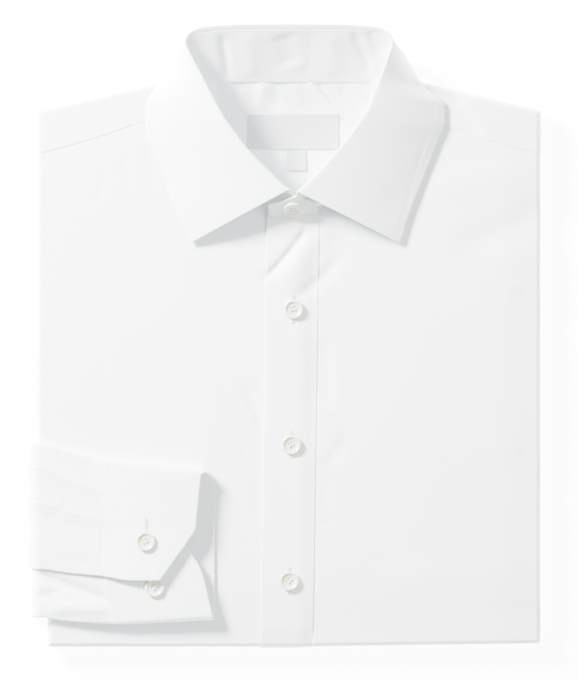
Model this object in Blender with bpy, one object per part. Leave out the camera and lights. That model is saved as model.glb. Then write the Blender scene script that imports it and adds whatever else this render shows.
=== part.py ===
"""A folded dress shirt, lying face up: fronts, placket, yoke, collar, one sleeve with its cuff, and buttons.

Sizes are in millimetres until a mesh is made, when they become metres.
X runs to the right across the folded shirt, Y from its bottom fold to its collar, and Z up from the surface.
The wearer's right side is on the left. Each piece of cloth is a wall, made from rows of points on its middle.
"""

from collections import namedtuple
from math import cos, pi, radians, sin

import bmesh
import bpy
import numpy as np
from mathutils import Matrix, Vector

MM = 0.001

# The folded body
BODY_HALF_WIDTH = 163.8
BODY_LENGTH = 366.6
FOLD_RADIUS = 7.0
CLOTH = 1.2
STIFF_CLOTH = 1.4
SEAM_GAP = 0.3
CORE_TOP = 15.0
PANEL_HEIGHT = CORE_TOP + SEAM_GAP + CLOTH / 2
PANEL_DROP = 13.2
SHOULDER_START = 87.0
SHOULDER_SLOPE = 18.0
SHOULDER_FADE = 150.0
LOWER_LEFT_INSET = 7.3
LOWER_LEFT_START = 134.0
LOWER_RIGHT_RISE = 2.2
LOWER_RIGHT_FADE = 60.0

# The placket, which leans a little, and what lies along it
PLACKET_WIDTH = 34.4
PLACKET_FOOT_X = -1.3
PLACKET_HEAD_X = 3.0
PLACKET_LENGTH = 280.0
PLACKET_LIFT = 1.6
PLACKET_SEAM_GAP = 0.5
PLACKET_EDGE_STEP = 4.0
BUTTON_STAND = 8.0
STAND_EDGE_GAP = 1.0
BUTTON_ROWS_Y = (219.4, 131.3, 42.9)
BUTTON_OFFSET_X = 1.2

# The neck's end of the yoke seam, and the hollow that the neck opening leaves in the folded layers
YOKE_NECK_X = 60.0
YOKE_NECK_RISE = 12.0
HOLLOW_MARGIN = 1.2
HOLLOW_HEADROOM = 10.0

# How many lines of points each grid has
LINES_ACROSS = 9
LINES_UP = 9
LINES_AT_NECK = 9
PLACKET_LINES_UP = 12

# The collar
COLLAR_CENTRE_X = 3.0
COLLAR_LIP = 5.0
COLLAR_SEAM_GAP = 0.85
COLLAR_ROUND = 2.6
COLLAR_BULGE = 3.6
COLLAR_ROLL = 0.7
COLLAR_CREST = 0.4
COLLAR_BUTTON_UP = 7.4
LAP_OFFSET = 0.95
LAP_FADE = 40.0

# The sleeve that is folded over the front, and its cuff
SLEEVE_LIFT = CLOTH + 0.55
PLEAT_HEIGHT = 0.8
PLEAT_RUN = 9.0
SLEEVE_DROP = 19.2
UNDERLAP = 24.0
CUFF_SEAM_X = -120.0
CUFF_SEAM_SLANT = 6.0
CUFF_SEAM_LOW = 15.0
CUFF_SEAM_FADE = 30.0

# Buttons, and the neck labels
BUTTON_RADIUS = 6.35
BUTTON_SIDES = 24
LABEL_WIDTH = 59.0
LABEL_LENGTH = 22.8
LABEL_TOP_Y = 346.5
LABEL_CLOTH = 0.8
TAG_WIDTH = 12.6
TAG_LENGTH = 13.4
TAG_TOP_Y = 323.2
TAG_X = 5.1

# Half of the collar's fold and of its neck seam, from the middle of the back to the lapped end in front.
# shift_x moves both sides alike: at the back the collar lies further to the left.
BandRow = namedtuple("BandRow", "along fold_x fold_y fold_z seam_x seam_y seam_z shift_x")
BAND = (
    BandRow(0, 0, 404.4, 38.5, 0, 369.0, 18.3, -2.7),
    BandRow(30, 30, 404.2, 38.5, 27, 369.0, 18.3, -2.7),
    BandRow(56, 55, 402.6, 38.2, 47, 368.8, 18.2, -2.7),
    BandRow(66, 64, 399.2, 38.0, 56, 367.5, 18.1, -2.7),
    BandRow(74, 67, 393.0, 38.0, 60.5, 364.0, 18.0, -2.6),
    BandRow(84, 64, 385.0, 38.0, 62, 357.0, 17.8, -2.2),
    BandRow(99, 57.5, 371.0, 38.0, 60.5, 346.0, 17.8, -1.2),
    BandRow(113, 51.5, 358.0, 38.0, 56.5, 334.5, 17.8, -0.4),
    BandRow(127, 45.5, 346.0, 38.0, 50, 323.5, 17.8, 0),
    BandRow(143, 36.5, 333.0, 37.5, 40, 311.0, 17.8, 0),
    BandRow(158, 27, 321.0, 37.0, 29, 300.0, 17.9, 0),
    BandRow(177, 14, 307.5, 36.5, 14.5, 288.5, 18.3, 0),
    BandRow(193, 2, 296.5, 36.0, 2, 281.6, 18.9, 0),
    BandRow(203, -7, 293.0, 33.0, -7, 281.2, 19.0, 0),
    BandRow(213, -16, 291.0, 30.0, -16, 281.2, 19.0, 0),
)
BAND_FRONT = 193.0
BAND_END = 213.0

# Half of the outer edge of the turned-down collar. shift_x moves the edge of both sides alike.
LeafRow = namedtuple("LeafRow", "along edge_x edge_y edge_z shift_x")
LEAF = (
    LeafRow(0, 0, 382.0, 2.4, -2.7),
    LeafRow(30, 28, 382.0, 2.4, -2.7),
    LeafRow(56, 52, 384.0, 2.8, -2.7),
    LeafRow(66, 64, 386.0, 4.2, -2.7),
    LeafRow(74, 73.5, 386.0, 7.0, -2.7),
    LeafRow(84, 78.5, 378.0, 11.5, -2.4),
    LeafRow(99, 86.0, 365.0, 17.2, -2.0),
    LeafRow(113, 97.0, 352.0, 18.6, 1.0),
    LeafRow(127, 97.2, 341.5, 18.8, 1.2),
    LeafRow(143, 92.6, 327.0, 18.8, 0.3),
    LeafRow(158, 86, 310.0, 18.8, 0.5),
    LeafRow(177, 77, 285.0, 18.9, -0.3),
    LeafRow(193, 68.0, 262.3, 19.0, 1.2),
)

# The neck edge of the fronts: how far it lies from the collar's centre at each height
NeckRow = namedtuple("NeckRow", "y half_width")
NECK = (
    NeckRow(0, -BUTTON_STAND),
    NeckRow(279.5, -BUTTON_STAND),
    NeckRow(288.5, 13),
    NeckRow(300, 27.5),
    NeckRow(311, 38.5),
    NeckRow(323.5, 48.5),
    NeckRow(334.5, 55),
    NeckRow(347, 59),
    NeckRow(358, 61),
    NeckRow(400, 61),
)

# The seam between each front and the yoke, before the shoulders are sloped
SeamRow = namedtuple("SeamRow", "x y")
YOKE_SEAM = (
    SeamRow(0, 347),
    SeamRow(60, 346.5),
    SeamRow(95, 343),
    SeamRow(130, 338.5),
    SeamRow(200, 334),
)

# The floor of the neck opening, where the back of the yoke lies
FloorRow = namedtuple("FloorRow", "y half_width z")
NECK_FLOOR = (
    FloorRow(284, 5, 7.6),
    FloorRow(292, 14, 7.4),
    FloorRow(302, 25, 7.2),
    FloorRow(314, 37, 7.2),
    FloorRow(328, 48, 7.6),
    FloorRow(341, 54, 8.8),
    FloorRow(352, 56.5, 11.2),
    FloorRow(361, 57, 14.4),
    FloorRow(368.3, 55, 17.0),
)

# The folded sleeve: where its folds, its slit and its pleats lie at each place across the shirt
SleeveRow = namedtuple("SleeveRow", "x top_fold bottom_fold slit rise lap pleat_1 pleat_2")
SLEEVE = (
    SleeveRow(-200, 134.5, 19.8, 51.8, 1.7, 1.7, 120.5, 97.2),
    SleeveRow(-164, 133.5, 19.8, 51.2, 1.7, 1.7, 118.5, 95.8),
    SleeveRow(-145, 128.5, 17.0, 48.6, 2.2, 1.9, 110.5, 89.8),
    SleeveRow(-120, 123.4, 15.4, 46.2, 3.4, 2.6, 101.4, 83.5),
    SleeveRow(-83, 120.0, 16.6, 43.6, 5.0, 4.3, 97.0, 80.0),
    SleeveRow(-53, 117.6, 18.2, 43.6, 5.8, 4.6, 95.0, 79.0),
)

# The cuff's open end: how far across the shirt each layer reaches, at each height along the end
EndRow = namedtuple("EndRow", "y upper_x under_x")
CUFF_END = (
    EndRow(15, -83.5, -48.0),
    EndRow(43.6, -83.5, -54.5),
    EndRow(52.7, -77.0, -57.5),
    EndRow(65, -68.0, -66.0),
    EndRow(76.7, -60.3, -74.5),
    EndRow(120, -56.0, -80.0),
)
CUFF_BACK_END_X = -48.0

# The cuff's buttons: the fastened one, and the one that the cut corner leaves half covered
CuffButton = namedtuple("CuffButton", "x y layer")
CUFF_BUTTONS = (
    CuffButton(-92.6, 68.9, "upper"),
    CuffButton(-86.8, 39.0, "under"),
)

# The layered side of the core, from its underside up to where the panels turn down over it
SideRow = namedtuple("SideRow", "inset z")
CORE_SIDE = (
    SideRow(3.0, 0.0),
    SideRow(0.9, 0.7),
    SideRow(0.1, 1.9),
    SideRow(0.9, 3.0),
    SideRow(1.9, 3.4),
    SideRow(0.8, 3.9),
    SideRow(0.2, 4.9),
    SideRow(1.0, 5.9),
    SideRow(1.8, 6.3),
)

# A turned button: the outline of its section from the middle of its face to the middle of its back
ButtonRow = namedtuple("ButtonRow", "radius height")
BUTTON_SECTION = (
    ButtonRow(4.1, 1.3),
    ButtonRow(4.7, 1.9),
    ButtonRow(5.3, 2.25),
    ButtonRow(5.9, 2.15),
    ButtonRow(BUTTON_RADIUS, 1.4),
    ButtonRow(5.9, 0.5),
    ButtonRow(4.6, 0.0),
)

# Colours, as linear values, with roughness
WHITE_COTTON = ((0.84, 0.845, 0.86), 0.85)
STIFF_COTTON = ((0.86, 0.865, 0.88), 0.8)
LABEL_SATIN = ((0.72, 0.73, 0.76), 0.45)
PEARL = ((0.78, 0.77, 0.72), 0.25)


def material(name, look):
    """A Principled material of one colour."""
    colour, roughness = look
    made = bpy.data.materials.new(name)
    made.use_nodes = True
    shader = made.node_tree.nodes["Principled BSDF"]
    shader.inputs["Base Color"].default_value = (*colour, 1.0)
    shader.inputs["Roughness"].default_value = roughness
    shader.inputs["Metallic"].default_value = 0.0
    made.diffuse_color = (*colour, 1.0)
    return made


def column(table, name):
    return np.array([getattr(row, name) for row in table], float)


def curve_through(table, key, name, at):
    """A smooth value between a table's rows, with no overshoot."""
    keys = column(table, key)
    values = column(table, name)
    steps = np.diff(keys)
    slopes = np.diff(values) / steps
    before, after = slopes[:-1], slopes[1:]
    product = before * after
    with np.errstate(divide="ignore", invalid="ignore"):
        middle = np.where(product > 0, 2 * product / (before + after), 0.0)
    tangents = np.concatenate([slopes[:1], middle, slopes[-1:]])
    place = np.clip(at, keys[0], keys[-1])
    i = np.clip(np.searchsorted(keys, place, side="right") - 1, 0, len(steps) - 1)
    t = (place - keys[i]) / steps[i]
    start = (2 * t**3 - 3 * t**2 + 1) * values[i] + (t**3 - 2 * t**2 + t) * steps[i] * tangents[i]
    end = (3 * t**2 - 2 * t**3) * values[i + 1] + (t**3 - t**2) * steps[i] * tangents[i + 1]
    return start + end


def ease(value):
    """A soft step from 0 to 1."""
    t = np.clip(value, 0.0, 1.0)
    return t * t * (3 - 2 * t)


def unit(vector):
    return vector / np.linalg.norm(vector)


def shaped(x, y, inset_share=1.0):
    """Moves a point of the plain rectangle to the real outline: sloped shoulders, uneven bottom corners."""
    slope = SHOULDER_SLOPE * max(abs(x) - SHOULDER_START, 0) / (BODY_HALF_WIDTH - SHOULDER_START)
    drop = slope * ease((y - BODY_LENGTH + SHOULDER_FADE) / SHOULDER_FADE)
    side = max(-x, 0) / BODY_HALF_WIDTH
    inset = LOWER_LEFT_INSET * side**2 * ease(1 - y / LOWER_LEFT_START)
    rise = LOWER_RIGHT_RISE * max(x, 0) / BODY_HALF_WIDTH * (1 - ease(y / LOWER_RIGHT_FADE))
    return x + inset * inset_share, y - drop + rise


def over_body(x, y, height=0.0, inset_share=1.0):
    """A point lying this high over the panels. Past the body's folds it turns round them and runs down.

    The sleeve and cuff have an inset_share of 0: they lie straight, out over the body's inset lower corner.
    """
    beyond_x = max(abs(x) - (BODY_HALF_WIDTH - FOLD_RADIUS), 0.0)
    low, high = FOLD_RADIUS, BODY_LENGTH - FOLD_RADIUS
    beyond_y = max(low - y, y - high, 0.0)
    past = max(beyond_x, beyond_y)
    if past == 0:
        return np.array([*shaped(x, y, inset_share), PANEL_HEIGHT + height])
    if beyond_x >= beyond_y:
        turn = pi / 4 * beyond_y / beyond_x
    else:
        turn = pi / 2 - pi / 4 * beyond_x / beyond_y
    core_x = np.clip(x, -BODY_HALF_WIDTH + FOLD_RADIUS, BODY_HALF_WIDTH - FOLD_RADIUS)
    core_y = np.clip(y, low, high)
    out_x = cos(turn) * (1 if x > 0 else -1)
    out_y = sin(turn) * (-1 if y < low else 1)
    angle = min(past / FOLD_RADIUS, pi / 2)
    straight = max(past - FOLD_RADIUS * pi / 2, 0.0)
    reach = (FOLD_RADIUS + height) * sin(angle)
    z = PANEL_HEIGHT - FOLD_RADIUS + (FOLD_RADIUS + height) * cos(angle) - straight
    return np.array([*shaped(core_x + out_x * reach, core_y + out_y * reach, inset_share), z])


def object_of(name, points, faces, look, smooth=40.0):
    """A closed body from points in millimetres, facing out."""
    build = bmesh.new()
    corners = [build.verts.new(Vector(point) * MM) for point in points]
    for face in faces:
        build.faces.new([corners[i] for i in face])
    bmesh.ops.recalc_face_normals(build, faces=build.faces)
    mesh = bpy.data.meshes.new(name)
    build.to_mesh(mesh)
    build.free()
    mesh.materials.append(look)
    mesh.shade_smooth()
    mesh.set_sharp_from_angle(angle=radians(smooth))
    made = bpy.data.objects.new(name, mesh)
    bpy.context.scene.collection.objects.link(made)
    return made


def grid_faces(rows, columns, start=0):
    quads = []
    for r in range(rows - 1):
        for c in range(columns - 1):
            first = start + r * columns + c
            quads.append((first, first + 1, first + columns + 1, first + columns))
    return quads


def border(rows, columns):
    """The grid's outer points, in order round it."""
    top = list(range(columns))
    right = [r * columns + columns - 1 for r in range(1, rows)]
    bottom = [(rows - 1) * columns + c for c in range(columns - 2, -1, -1)]
    left = [r * columns for r in range(rows - 2, 0, -1)]
    return top + right + bottom + left


def between(name, upper, lower, look):
    """A closed body between two grids of points with the same rows and columns."""
    rows, columns, _ = upper.shape
    count = rows * columns
    faces = grid_faces(rows, columns)
    faces += [tuple(reversed(face)) for face in grid_faces(rows, columns, count)]
    edge = border(rows, columns)
    for first, second in zip(edge, edge[1:] + edge[:1]):
        faces.append((first, first + count, second + count, second))
    points = np.concatenate([upper.reshape(-1, 3), lower.reshape(-1, 3)])
    return object_of(name, points, faces, look)


def wall(name, middle, thickness, look):
    """Cloth of this thickness whose middle is a grid of points."""
    middle = np.array(middle, float)
    normals = np.cross(np.gradient(middle, axis=0), np.gradient(middle, axis=1))
    normals /= np.linalg.norm(normals, axis=2, keepdims=True)
    return between(name, middle + normals * thickness / 2, middle - normals * thickness / 2, look)


def fold_stations():
    """How far past the start of a fold the points lie that turn round it and run down."""
    arc = FOLD_RADIUS * pi / 2
    return [arc * step / 4 for step in range(1, 5)] + [PANEL_DROP]


def placket_x(y):
    return PLACKET_FOOT_X + (PLACKET_HEAD_X - PLACKET_FOOT_X) * y / PLACKET_LENGTH


def neck_x(y):
    return float(np.interp(y, column(NECK, "y"), column(NECK, "half_width")))


def seam_y(x):
    return float(curve_through(YOKE_SEAM, "x", "y", abs(x)))


def upright_stations(count):
    """Heights from past the bottom fold up to the neck."""
    below = [FOLD_RADIUS - past for past in reversed(fold_stations())]
    return below + list(np.linspace(FOLD_RADIUS, PLACKET_LENGTH - PLACKET_EDGE_STEP, count))


def front_panel(name, side, look):
    """One front. side is -1 for the wearer's right, which is on the left, and 1 for the wearer's left."""
    rows = []
    inner_end = seam_y(YOKE_NECK_X) - SEAM_GAP
    outer = BODY_HALF_WIDTH - FOLD_RADIUS
    for y in (*upright_stations(LINES_UP), *np.linspace(PLACKET_LENGTH, inner_end, LINES_AT_NECK)):
        inner = COLLAR_CENTRE_X * side + neck_x(y)
        if side > 0:
            inner = max(inner, placket_x(y) + PLACKET_WIDTH / 2 + PLACKET_SEAM_GAP)
        across = list(np.linspace(inner, outer, LINES_ACROSS)) + [outer + past for past in fold_stations()]
        row = []
        for x in across:
            limit = seam_y(x) - SEAM_GAP
            share = max(y, 0) / inner_end
            row.append(over_body(side * x, y - share**2 * (inner_end - limit)))
        rows.append(row)
    return wall(name, rows, CLOTH, look)


def placket(look):
    """The strip down the wearer's left front, over the button stand, down to the panel at its seam."""
    rows = []
    half = PLACKET_WIDTH / 2
    stand_end = COLLAR_CENTRE_X + BUTTON_STAND + STAND_EDGE_GAP
    for y in (*upright_stations(PLACKET_LINES_UP), PLACKET_LENGTH):
        middle = placket_x(y)
        step = stand_end - middle
        row = []
        over_edge = [step + PLACKET_EDGE_STEP * t for t in (0, 0.5, 1)]
        for offset in (-half, -half + PLACKET_EDGE_STEP, 0, *over_edge, half):
            lift = PLACKET_LIFT * (1 - ease((offset - step) / (half - step)))
            row.append(over_body(middle + offset, y, lift + (STIFF_CLOTH - CLOTH) / 2))
        rows.append(row)
    return wall("front_placket", rows, STIFF_CLOTH, look)


def yoke_shoulder(name, side, look):
    """The yoke over one shoulder, turned down past the shoulder and the side."""
    rows = []
    shoulder = BODY_LENGTH - FOLD_RADIUS
    outer = BODY_HALF_WIDTH - FOLD_RADIUS
    for share in (0, 0.33, 0.67, 1):
        inner = COLLAR_CENTRE_X * side + neck_x(seam_y(YOKE_NECK_X) + share * YOKE_NECK_RISE)
        across = list(np.linspace(inner, outer, LINES_ACROSS)) + [outer + past for past in fold_stations()]
        rows.append([(side * x, seam_y(x) + share * (shoulder - seam_y(x))) for x in across])
    for past in fold_stations():
        rows.append([(x, shoulder + past) for x, _ in rows[3]])
    return wall(name, [[over_body(x, y) for x, y in row] for row in rows], CLOTH, look)


def floor_grid(rise, margin=0.0, rows=12, columns=11):
    """The floor of the neck opening, moved up by rise and narrowed by margin on each side."""
    grid = []
    for y in np.linspace(NECK_FLOOR[0].y + margin, NECK_FLOOR[-1].y, rows):
        half = curve_through(NECK_FLOOR, "y", "half_width", y) - margin
        z = curve_through(NECK_FLOOR, "y", "z", y) + rise
        grid.append([(COLLAR_CENTRE_X + half * t, y, z) for t in np.linspace(-1, 1, columns)])
    return np.array(grid)


def lying_patch(name, centre_x, top_y, width, length, look):
    """A label made from the points of the yoke that it lies on, moved up."""
    grid = []
    for y in np.linspace(top_y - length, top_y, 6):
        z = curve_through(NECK_FLOOR, "y", "z", y) + CLOTH / 2 + SEAM_GAP + LABEL_CLOTH / 2
        grid.append([(centre_x + width * t, y, z) for t in np.linspace(-0.5, 0.5, 5)])
    return wall(name, grid, LABEL_CLOTH, look)


def core_outline(inset):
    """The body's outline, this far inside its edge, with round corners."""
    radius = max(FOLD_RADIUS - inset, 0.35)
    half = BODY_HALF_WIDTH - inset - radius
    low = inset + radius
    high = BODY_LENGTH - inset - radius
    points = []
    corners = ((half, low, -90), (half, high, 0), (-half, high, 90), (-half, low, 180))
    for i, (x, y, start) in enumerate(corners):
        for step in range(5):
            angle = radians(start + 90 * step / 4)
            points.append((x + radius * cos(angle), y + radius * sin(angle)))
        next_x, next_y, next_start = corners[(i + 1) % 4]
        start_x, start_y = points[-1]
        angle = radians(next_start)
        end_x, end_y = next_x + radius * cos(angle), next_y + radius * sin(angle)
        for t in np.linspace(0, 1, 12)[1:-1]:
            points.append((start_x + (end_x - start_x) * t, start_y + (end_y - start_y) * t))
    return [shaped(x, y) for x, y in points]


def folded_layers(look):
    """The back, the other sleeve and the turned-up tails: one rounded solid, layered at its edges."""
    profile = [(row.inset, row.z) for row in CORE_SIDE]
    inner_inset = CLOTH / 2 + SEAM_GAP
    radius = FOLD_RADIUS - inner_inset
    centre_z = CORE_TOP - radius
    for step in range(5):
        angle = pi / 2 * step / 4
        profile.append((FOLD_RADIUS - radius * cos(angle), centre_z + radius * sin(angle)))
    rings = [[(*point, z) for point in core_outline(inset)] for inset, z in profile]
    count = len(rings[0])
    points = [point for ring in rings for point in ring]
    faces = [tuple(range(count)), tuple(range(len(points) - count, len(points)))]
    for level in range(len(rings) - 1):
        for i in range(count):
            j = (i + 1) % count
            first, second = level * count + i, level * count + j
            faces.append((first, second, second + count, first + count))
    core = object_of("folded_back_layers", points, faces, look)
    floor = floor_grid(-CLOTH / 2 - SEAM_GAP, margin=-HOLLOW_MARGIN)
    above = floor.copy()
    above[:, :, 2] = CORE_TOP + HOLLOW_HEADROOM
    cutter = between("neck_hollow_cutter", above, floor, look)
    cutter.hide_render = True
    cutter.display_type = "WIRE"
    cut = core.modifiers.new("neck_hollow", "BOOLEAN")
    cut.operation = "DIFFERENCE"
    cut.solver = "EXACT"
    cut.object = cutter
    return core


def collar_line(along, side):
    """The fold and the neck seam at this distance from the middle of the back, on one side."""
    fold = np.array([curve_through(BAND, "along", f"fold_{axis}", along) for axis in "xyz"])
    seam = np.array([curve_through(BAND, "along", f"seam_{axis}", along) for axis in "xyz"])
    lap = side * LAP_OFFSET * ease((along - BAND_FRONT + LAP_FADE) / LAP_FADE)
    lift = lap * unit(np.array([0.0, seam[2] - fold[2], fold[1] - seam[1]]))
    centre = COLLAR_CENTRE_X + curve_through(BAND, "along", "shift_x", along)
    for point in (fold, seam):
        point += lift
        point[0] = centre + side * point[0]
    return fold, seam


def both_sides(end, count):
    """Distances from the middle of the back, from one front end round to the other, with their sides."""
    half = list(np.linspace(0, end, count))
    return [(along, -1) for along in reversed(half[1:])] + [(along, 1) for along in half]


def collar_band(look):
    rows = []
    for along, side in both_sides(BAND_END, 22):
        fold, seam = collar_line(along, side)
        top = fold - COLLAR_LIP * unit(fold - seam)
        rows.append([seam + (top - seam) * t for t in np.linspace(0, 1, 5)])
    return wall("collar_band", rows, STIFF_CLOTH, look)


def bezier(start, control, end, count):
    steps = np.linspace(0, 1, count)
    return [start * (1 - t) ** 2 + control * 2 * t * (1 - t) + end * t**2 for t in steps]


def collar_leaf(look):
    """The turned-down collar: up from its seam on the band, over the fold and out to its edge."""
    rows = []
    for along, side in both_sides(BAND_FRONT, 22):
        fold, seam = collar_line(along, side)
        edge = np.array([curve_through(LEAF, "along", f"edge_{axis}", along) for axis in "xyz"])
        edge[0] = COLLAR_CENTRE_X + side * edge[0] + curve_through(LEAF, "along", "shift_x", along)
        up = unit(fold - seam)
        out = unit(edge - fold)
        start = fold - (COLLAR_LIP - COLLAR_SEAM_GAP) * up
        inner = fold - COLLAR_ROUND * up
        proud = unit(np.array([0.0, 0.0, 1.0]) - out[2] * out)
        outer = fold + COLLAR_ROUND * out + COLLAR_ROLL * proud
        bulge = (outer + edge) / 2 + COLLAR_BULGE * proud
        row = [start] + bezier(inner, fold + COLLAR_CREST * up, outer, 5) + bezier(outer, bulge, edge, 7)[1:]
        rows.append(row)
    return wall("collar_leaf", rows, STIFF_CLOTH, look)


def sleeve_layout(x):
    """The sleeve's sizes at this place across the shirt, as a row of its table."""
    names = SleeveRow._fields[1:]
    return SleeveRow(x, *(float(curve_through(SLEEVE, "x", name, x)) for name in names))


def pleat_height(y, pleats, share):
    """A pleat stands at its line and slopes away below it."""
    height = 0.0
    for line in pleats:
        if line - PLEAT_RUN < y <= line:
            height = max(height, 1 - (line - y) / PLEAT_RUN)
    return height * PLEAT_HEIGHT * share


def sleeve_section(x, pleat_share):
    """Points (y, height, layer) round the flattened sleeve, from its slit's edge to its underlap's end."""
    at = sleeve_layout(x)
    low = SLEEVE_LIFT
    under = low + at.rise
    upper = under + at.lap
    big = (upper - low) / 2
    small = (under - low) / 2
    top_end = at.top_fold - big
    points = []
    pleats = (at.pleat_1, at.pleat_2)
    plain = np.linspace(at.slit, at.pleat_2 - 2, 5)
    between_pleats = (at.pleat_1 + at.pleat_2) / 2
    crests = (at.pleat_2 - 0.2, at.pleat_2 + 0.5, between_pleats, at.pleat_1 - 0.2, at.pleat_1 + 0.5)
    for y in (*plain, *crests, top_end):
        points.append((y, upper + pleat_height(y, pleats, pleat_share), "upper"))
    for step in range(1, 6):
        angle = pi / 2 - pi * step / 6
        points.append((top_end + big * cos(angle), (low + upper) / 2 + big * sin(angle), "back"))
    for y in np.linspace(top_end, at.bottom_fold + small, 5):
        points.append((y, low, "back"))
    for step in range(1, 6):
        angle = -pi / 2 - pi * step / 6
        y = at.bottom_fold + small + small * cos(angle)
        points.append((y, (low + under) / 2 + small * sin(angle), "under"))
    for y in np.linspace(at.bottom_fold + small, at.slit + UNDERLAP, 5):
        points.append((y, under, "under"))
    return points


def cuff_seam(y):
    return CUFF_SEAM_X + CUFF_SEAM_SLANT * ease(1 - (y - CUFF_SEAM_LOW) / CUFF_SEAM_FADE)


def sleeve(look):
    """From the cuff's seam to the body's side, then down round it."""
    edge = BODY_HALF_WIDTH - FOLD_RADIUS
    down = fold_stations()[:-1] + [SLEEVE_DROP - 5, SLEEVE_DROP]
    places = [(-edge - past, 0.0) for past in reversed(down)] + [(-edge, 0.0)]
    places += [(-edge, share) for share in (0.2, 0.4, 0.6, 0.8, 1.0)]
    rows = []
    for x, share in places:
        seam = CUFF_SEAM_X
        centre = x + share * (seam + edge)
        row = []
        for y, height, _ in sleeve_section(centre, 1.0):
            reach = x + share * (cuff_seam(y) - SEAM_GAP + edge)
            row.append(over_body(reach, y, height, inset_share=0.0))
        rows.append(row)
    return wall("sleeve_right", rows, CLOTH, look)


def cuff_end(y, layer):
    """How far across the shirt this layer of the cuff reaches at this height."""
    if layer == "back":
        return CUFF_BACK_END_X
    return float(np.interp(y, column(CUFF_END, "y"), column(CUFF_END, f"{layer}_x")))


def cuff_place(share):
    """Where the cuff's section is read, at this share of the way from its seam to its open end."""
    return CUFF_SEAM_X + share * (CUFF_BACK_END_X - CUFF_SEAM_X)


def cuff(look):
    """The buttoned cuff, one strip round the wrist with cut corners, lying on the front."""
    rows = []
    for share in (0, 0.15, 0.35, 0.55, 0.75, 0.9, 1.0):
        row = []
        for y, height, layer in sleeve_section(cuff_place(share), 0.0):
            start = cuff_seam(y)
            reach = start + share * (cuff_end(y, layer) - start)
            row.append(over_body(reach, y, height, inset_share=0.0))
        rows.append(row)
    return wall("cuff_right", rows, CLOTH, look)


def on_cuff(x, y, layer):
    """The height of this layer of the cuff under the far side of a button at this place."""
    start = cuff_seam(y)
    share = (x + BUTTON_SECTION[-1].radius - start) / (cuff_end(y, layer) - start)
    at = sleeve_layout(cuff_place(share))
    return SLEEVE_LIFT + at.rise + (at.lap if layer == "upper" else 0.0)


def button(name, place, lean, look):
    """A turned button whose back rests at this place. lean tips its face to the bottom fold, in degrees."""
    points = [(0.0, 0.0, BUTTON_SECTION[0].height)]
    faces = []
    for row in BUTTON_SECTION:
        for step in range(BUTTON_SIDES):
            angle = 2 * pi * step / BUTTON_SIDES
            points.append((row.radius * cos(angle), row.radius * sin(angle), row.height))
    for step in range(BUTTON_SIDES):
        after = (step + 1) % BUTTON_SIDES
        faces.append((0, 1 + step, 1 + after))
        for ring in range(len(BUTTON_SECTION) - 1):
            first = 1 + ring * BUTTON_SIDES
            second = first + BUTTON_SIDES
            faces.append((first + step, second + step, second + after, first + after))
    last = 1 + (len(BUTTON_SECTION) - 1) * BUTTON_SIDES
    faces.append(tuple(range(last, last + BUTTON_SIDES)))
    made = object_of(name, points, faces, look)
    made.matrix_world = Matrix.Translation(Vector(place) * MM) @ Matrix.Rotation(radians(lean), 4, "X")
    return made


def buttons(look):
    made = []
    for number, y in enumerate(BUTTON_ROWS_Y, 1):
        x = placket_x(y) + BUTTON_OFFSET_X
        place = over_body(x, y, PLACKET_LIFT + STIFF_CLOTH - CLOTH / 2 + SEAM_GAP)
        made.append(button(f"button_front_{number}", place, 0.0, look))
    fold, seam = collar_line(BAND_FRONT, 1)
    up = unit(fold - seam)
    face = np.array([0.0, -up[2], up[1]])
    lean = np.degrees(np.arctan2(up[2], up[1]))
    place = seam + up * COLLAR_BUTTON_UP + face * (STIFF_CLOTH / 2 + 2 * SEAM_GAP)
    made.append(button("button_collar", (COLLAR_CENTRE_X, place[1], place[2]), lean, look))
    for number, at in enumerate(CUFF_BUTTONS, 1):
        place = over_body(at.x, at.y, on_cuff(*at) + CLOTH / 2 + SEAM_GAP, inset_share=0.0)
        made.append(button(f"button_cuff_{number}", place, 0.0, look))
    return made


def stand_on_origin(pieces):
    """Parents every piece to one empty, so that the middle of the shirt's underside is at the origin."""
    bpy.context.view_layer.update()
    corners = [piece.matrix_world @ Vector(corner) for piece in pieces for corner in piece.bound_box]
    low = [min(corner[axis] for corner in corners) for axis in range(3)]
    high = [max(corner[axis] for corner in corners) for axis in range(3)]
    shirt = bpy.data.objects.new("shirt", None)
    bpy.context.scene.collection.objects.link(shirt)
    for piece in pieces:
        piece.parent = shirt
    shirt.location = (-(low[0] + high[0]) / 2, -(low[1] + high[1]) / 2, 0.0)


def main():
    for old in list(bpy.data.objects):
        bpy.data.objects.remove(old)
    cotton = material("white_cotton", WHITE_COTTON)
    stiff = material("stiff_cotton", STIFF_COTTON)
    satin = material("label_satin", LABEL_SATIN)
    pearl = material("button_pearl", PEARL)
    pieces = [
        folded_layers(cotton),
        front_panel("front_right", -1, cotton),
        front_panel("front_left", 1, cotton),
        placket(stiff),
        yoke_shoulder("yoke_shoulder_right", -1, cotton),
        yoke_shoulder("yoke_shoulder_left", 1, cotton),
        wall("yoke_back", floor_grid(0.0), CLOTH, cotton),
        collar_band(stiff),
        collar_leaf(stiff),
        sleeve(cotton),
        cuff(stiff),
        lying_patch("neck_label", COLLAR_CENTRE_X, LABEL_TOP_Y, LABEL_WIDTH, LABEL_LENGTH, satin),
        lying_patch("size_tag", TAG_X, TAG_TOP_Y, TAG_WIDTH, TAG_LENGTH, satin),
        *buttons(pearl),
    ]
    cutter = bpy.data.objects["neck_hollow_cutter"]
    stand_on_origin(pieces + [cutter])


main()
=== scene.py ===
"""The folded dress shirt as it looks: thin cloth with creases, stitching, buttons, labels, light and camera.

Sizes are in millimetres in the shirt's own plan, until a mesh is made: x runs across from the middle of the
body, y up from the bottom fold, and z up from the surface. The wearer's right side is on the left.
"""

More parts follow.
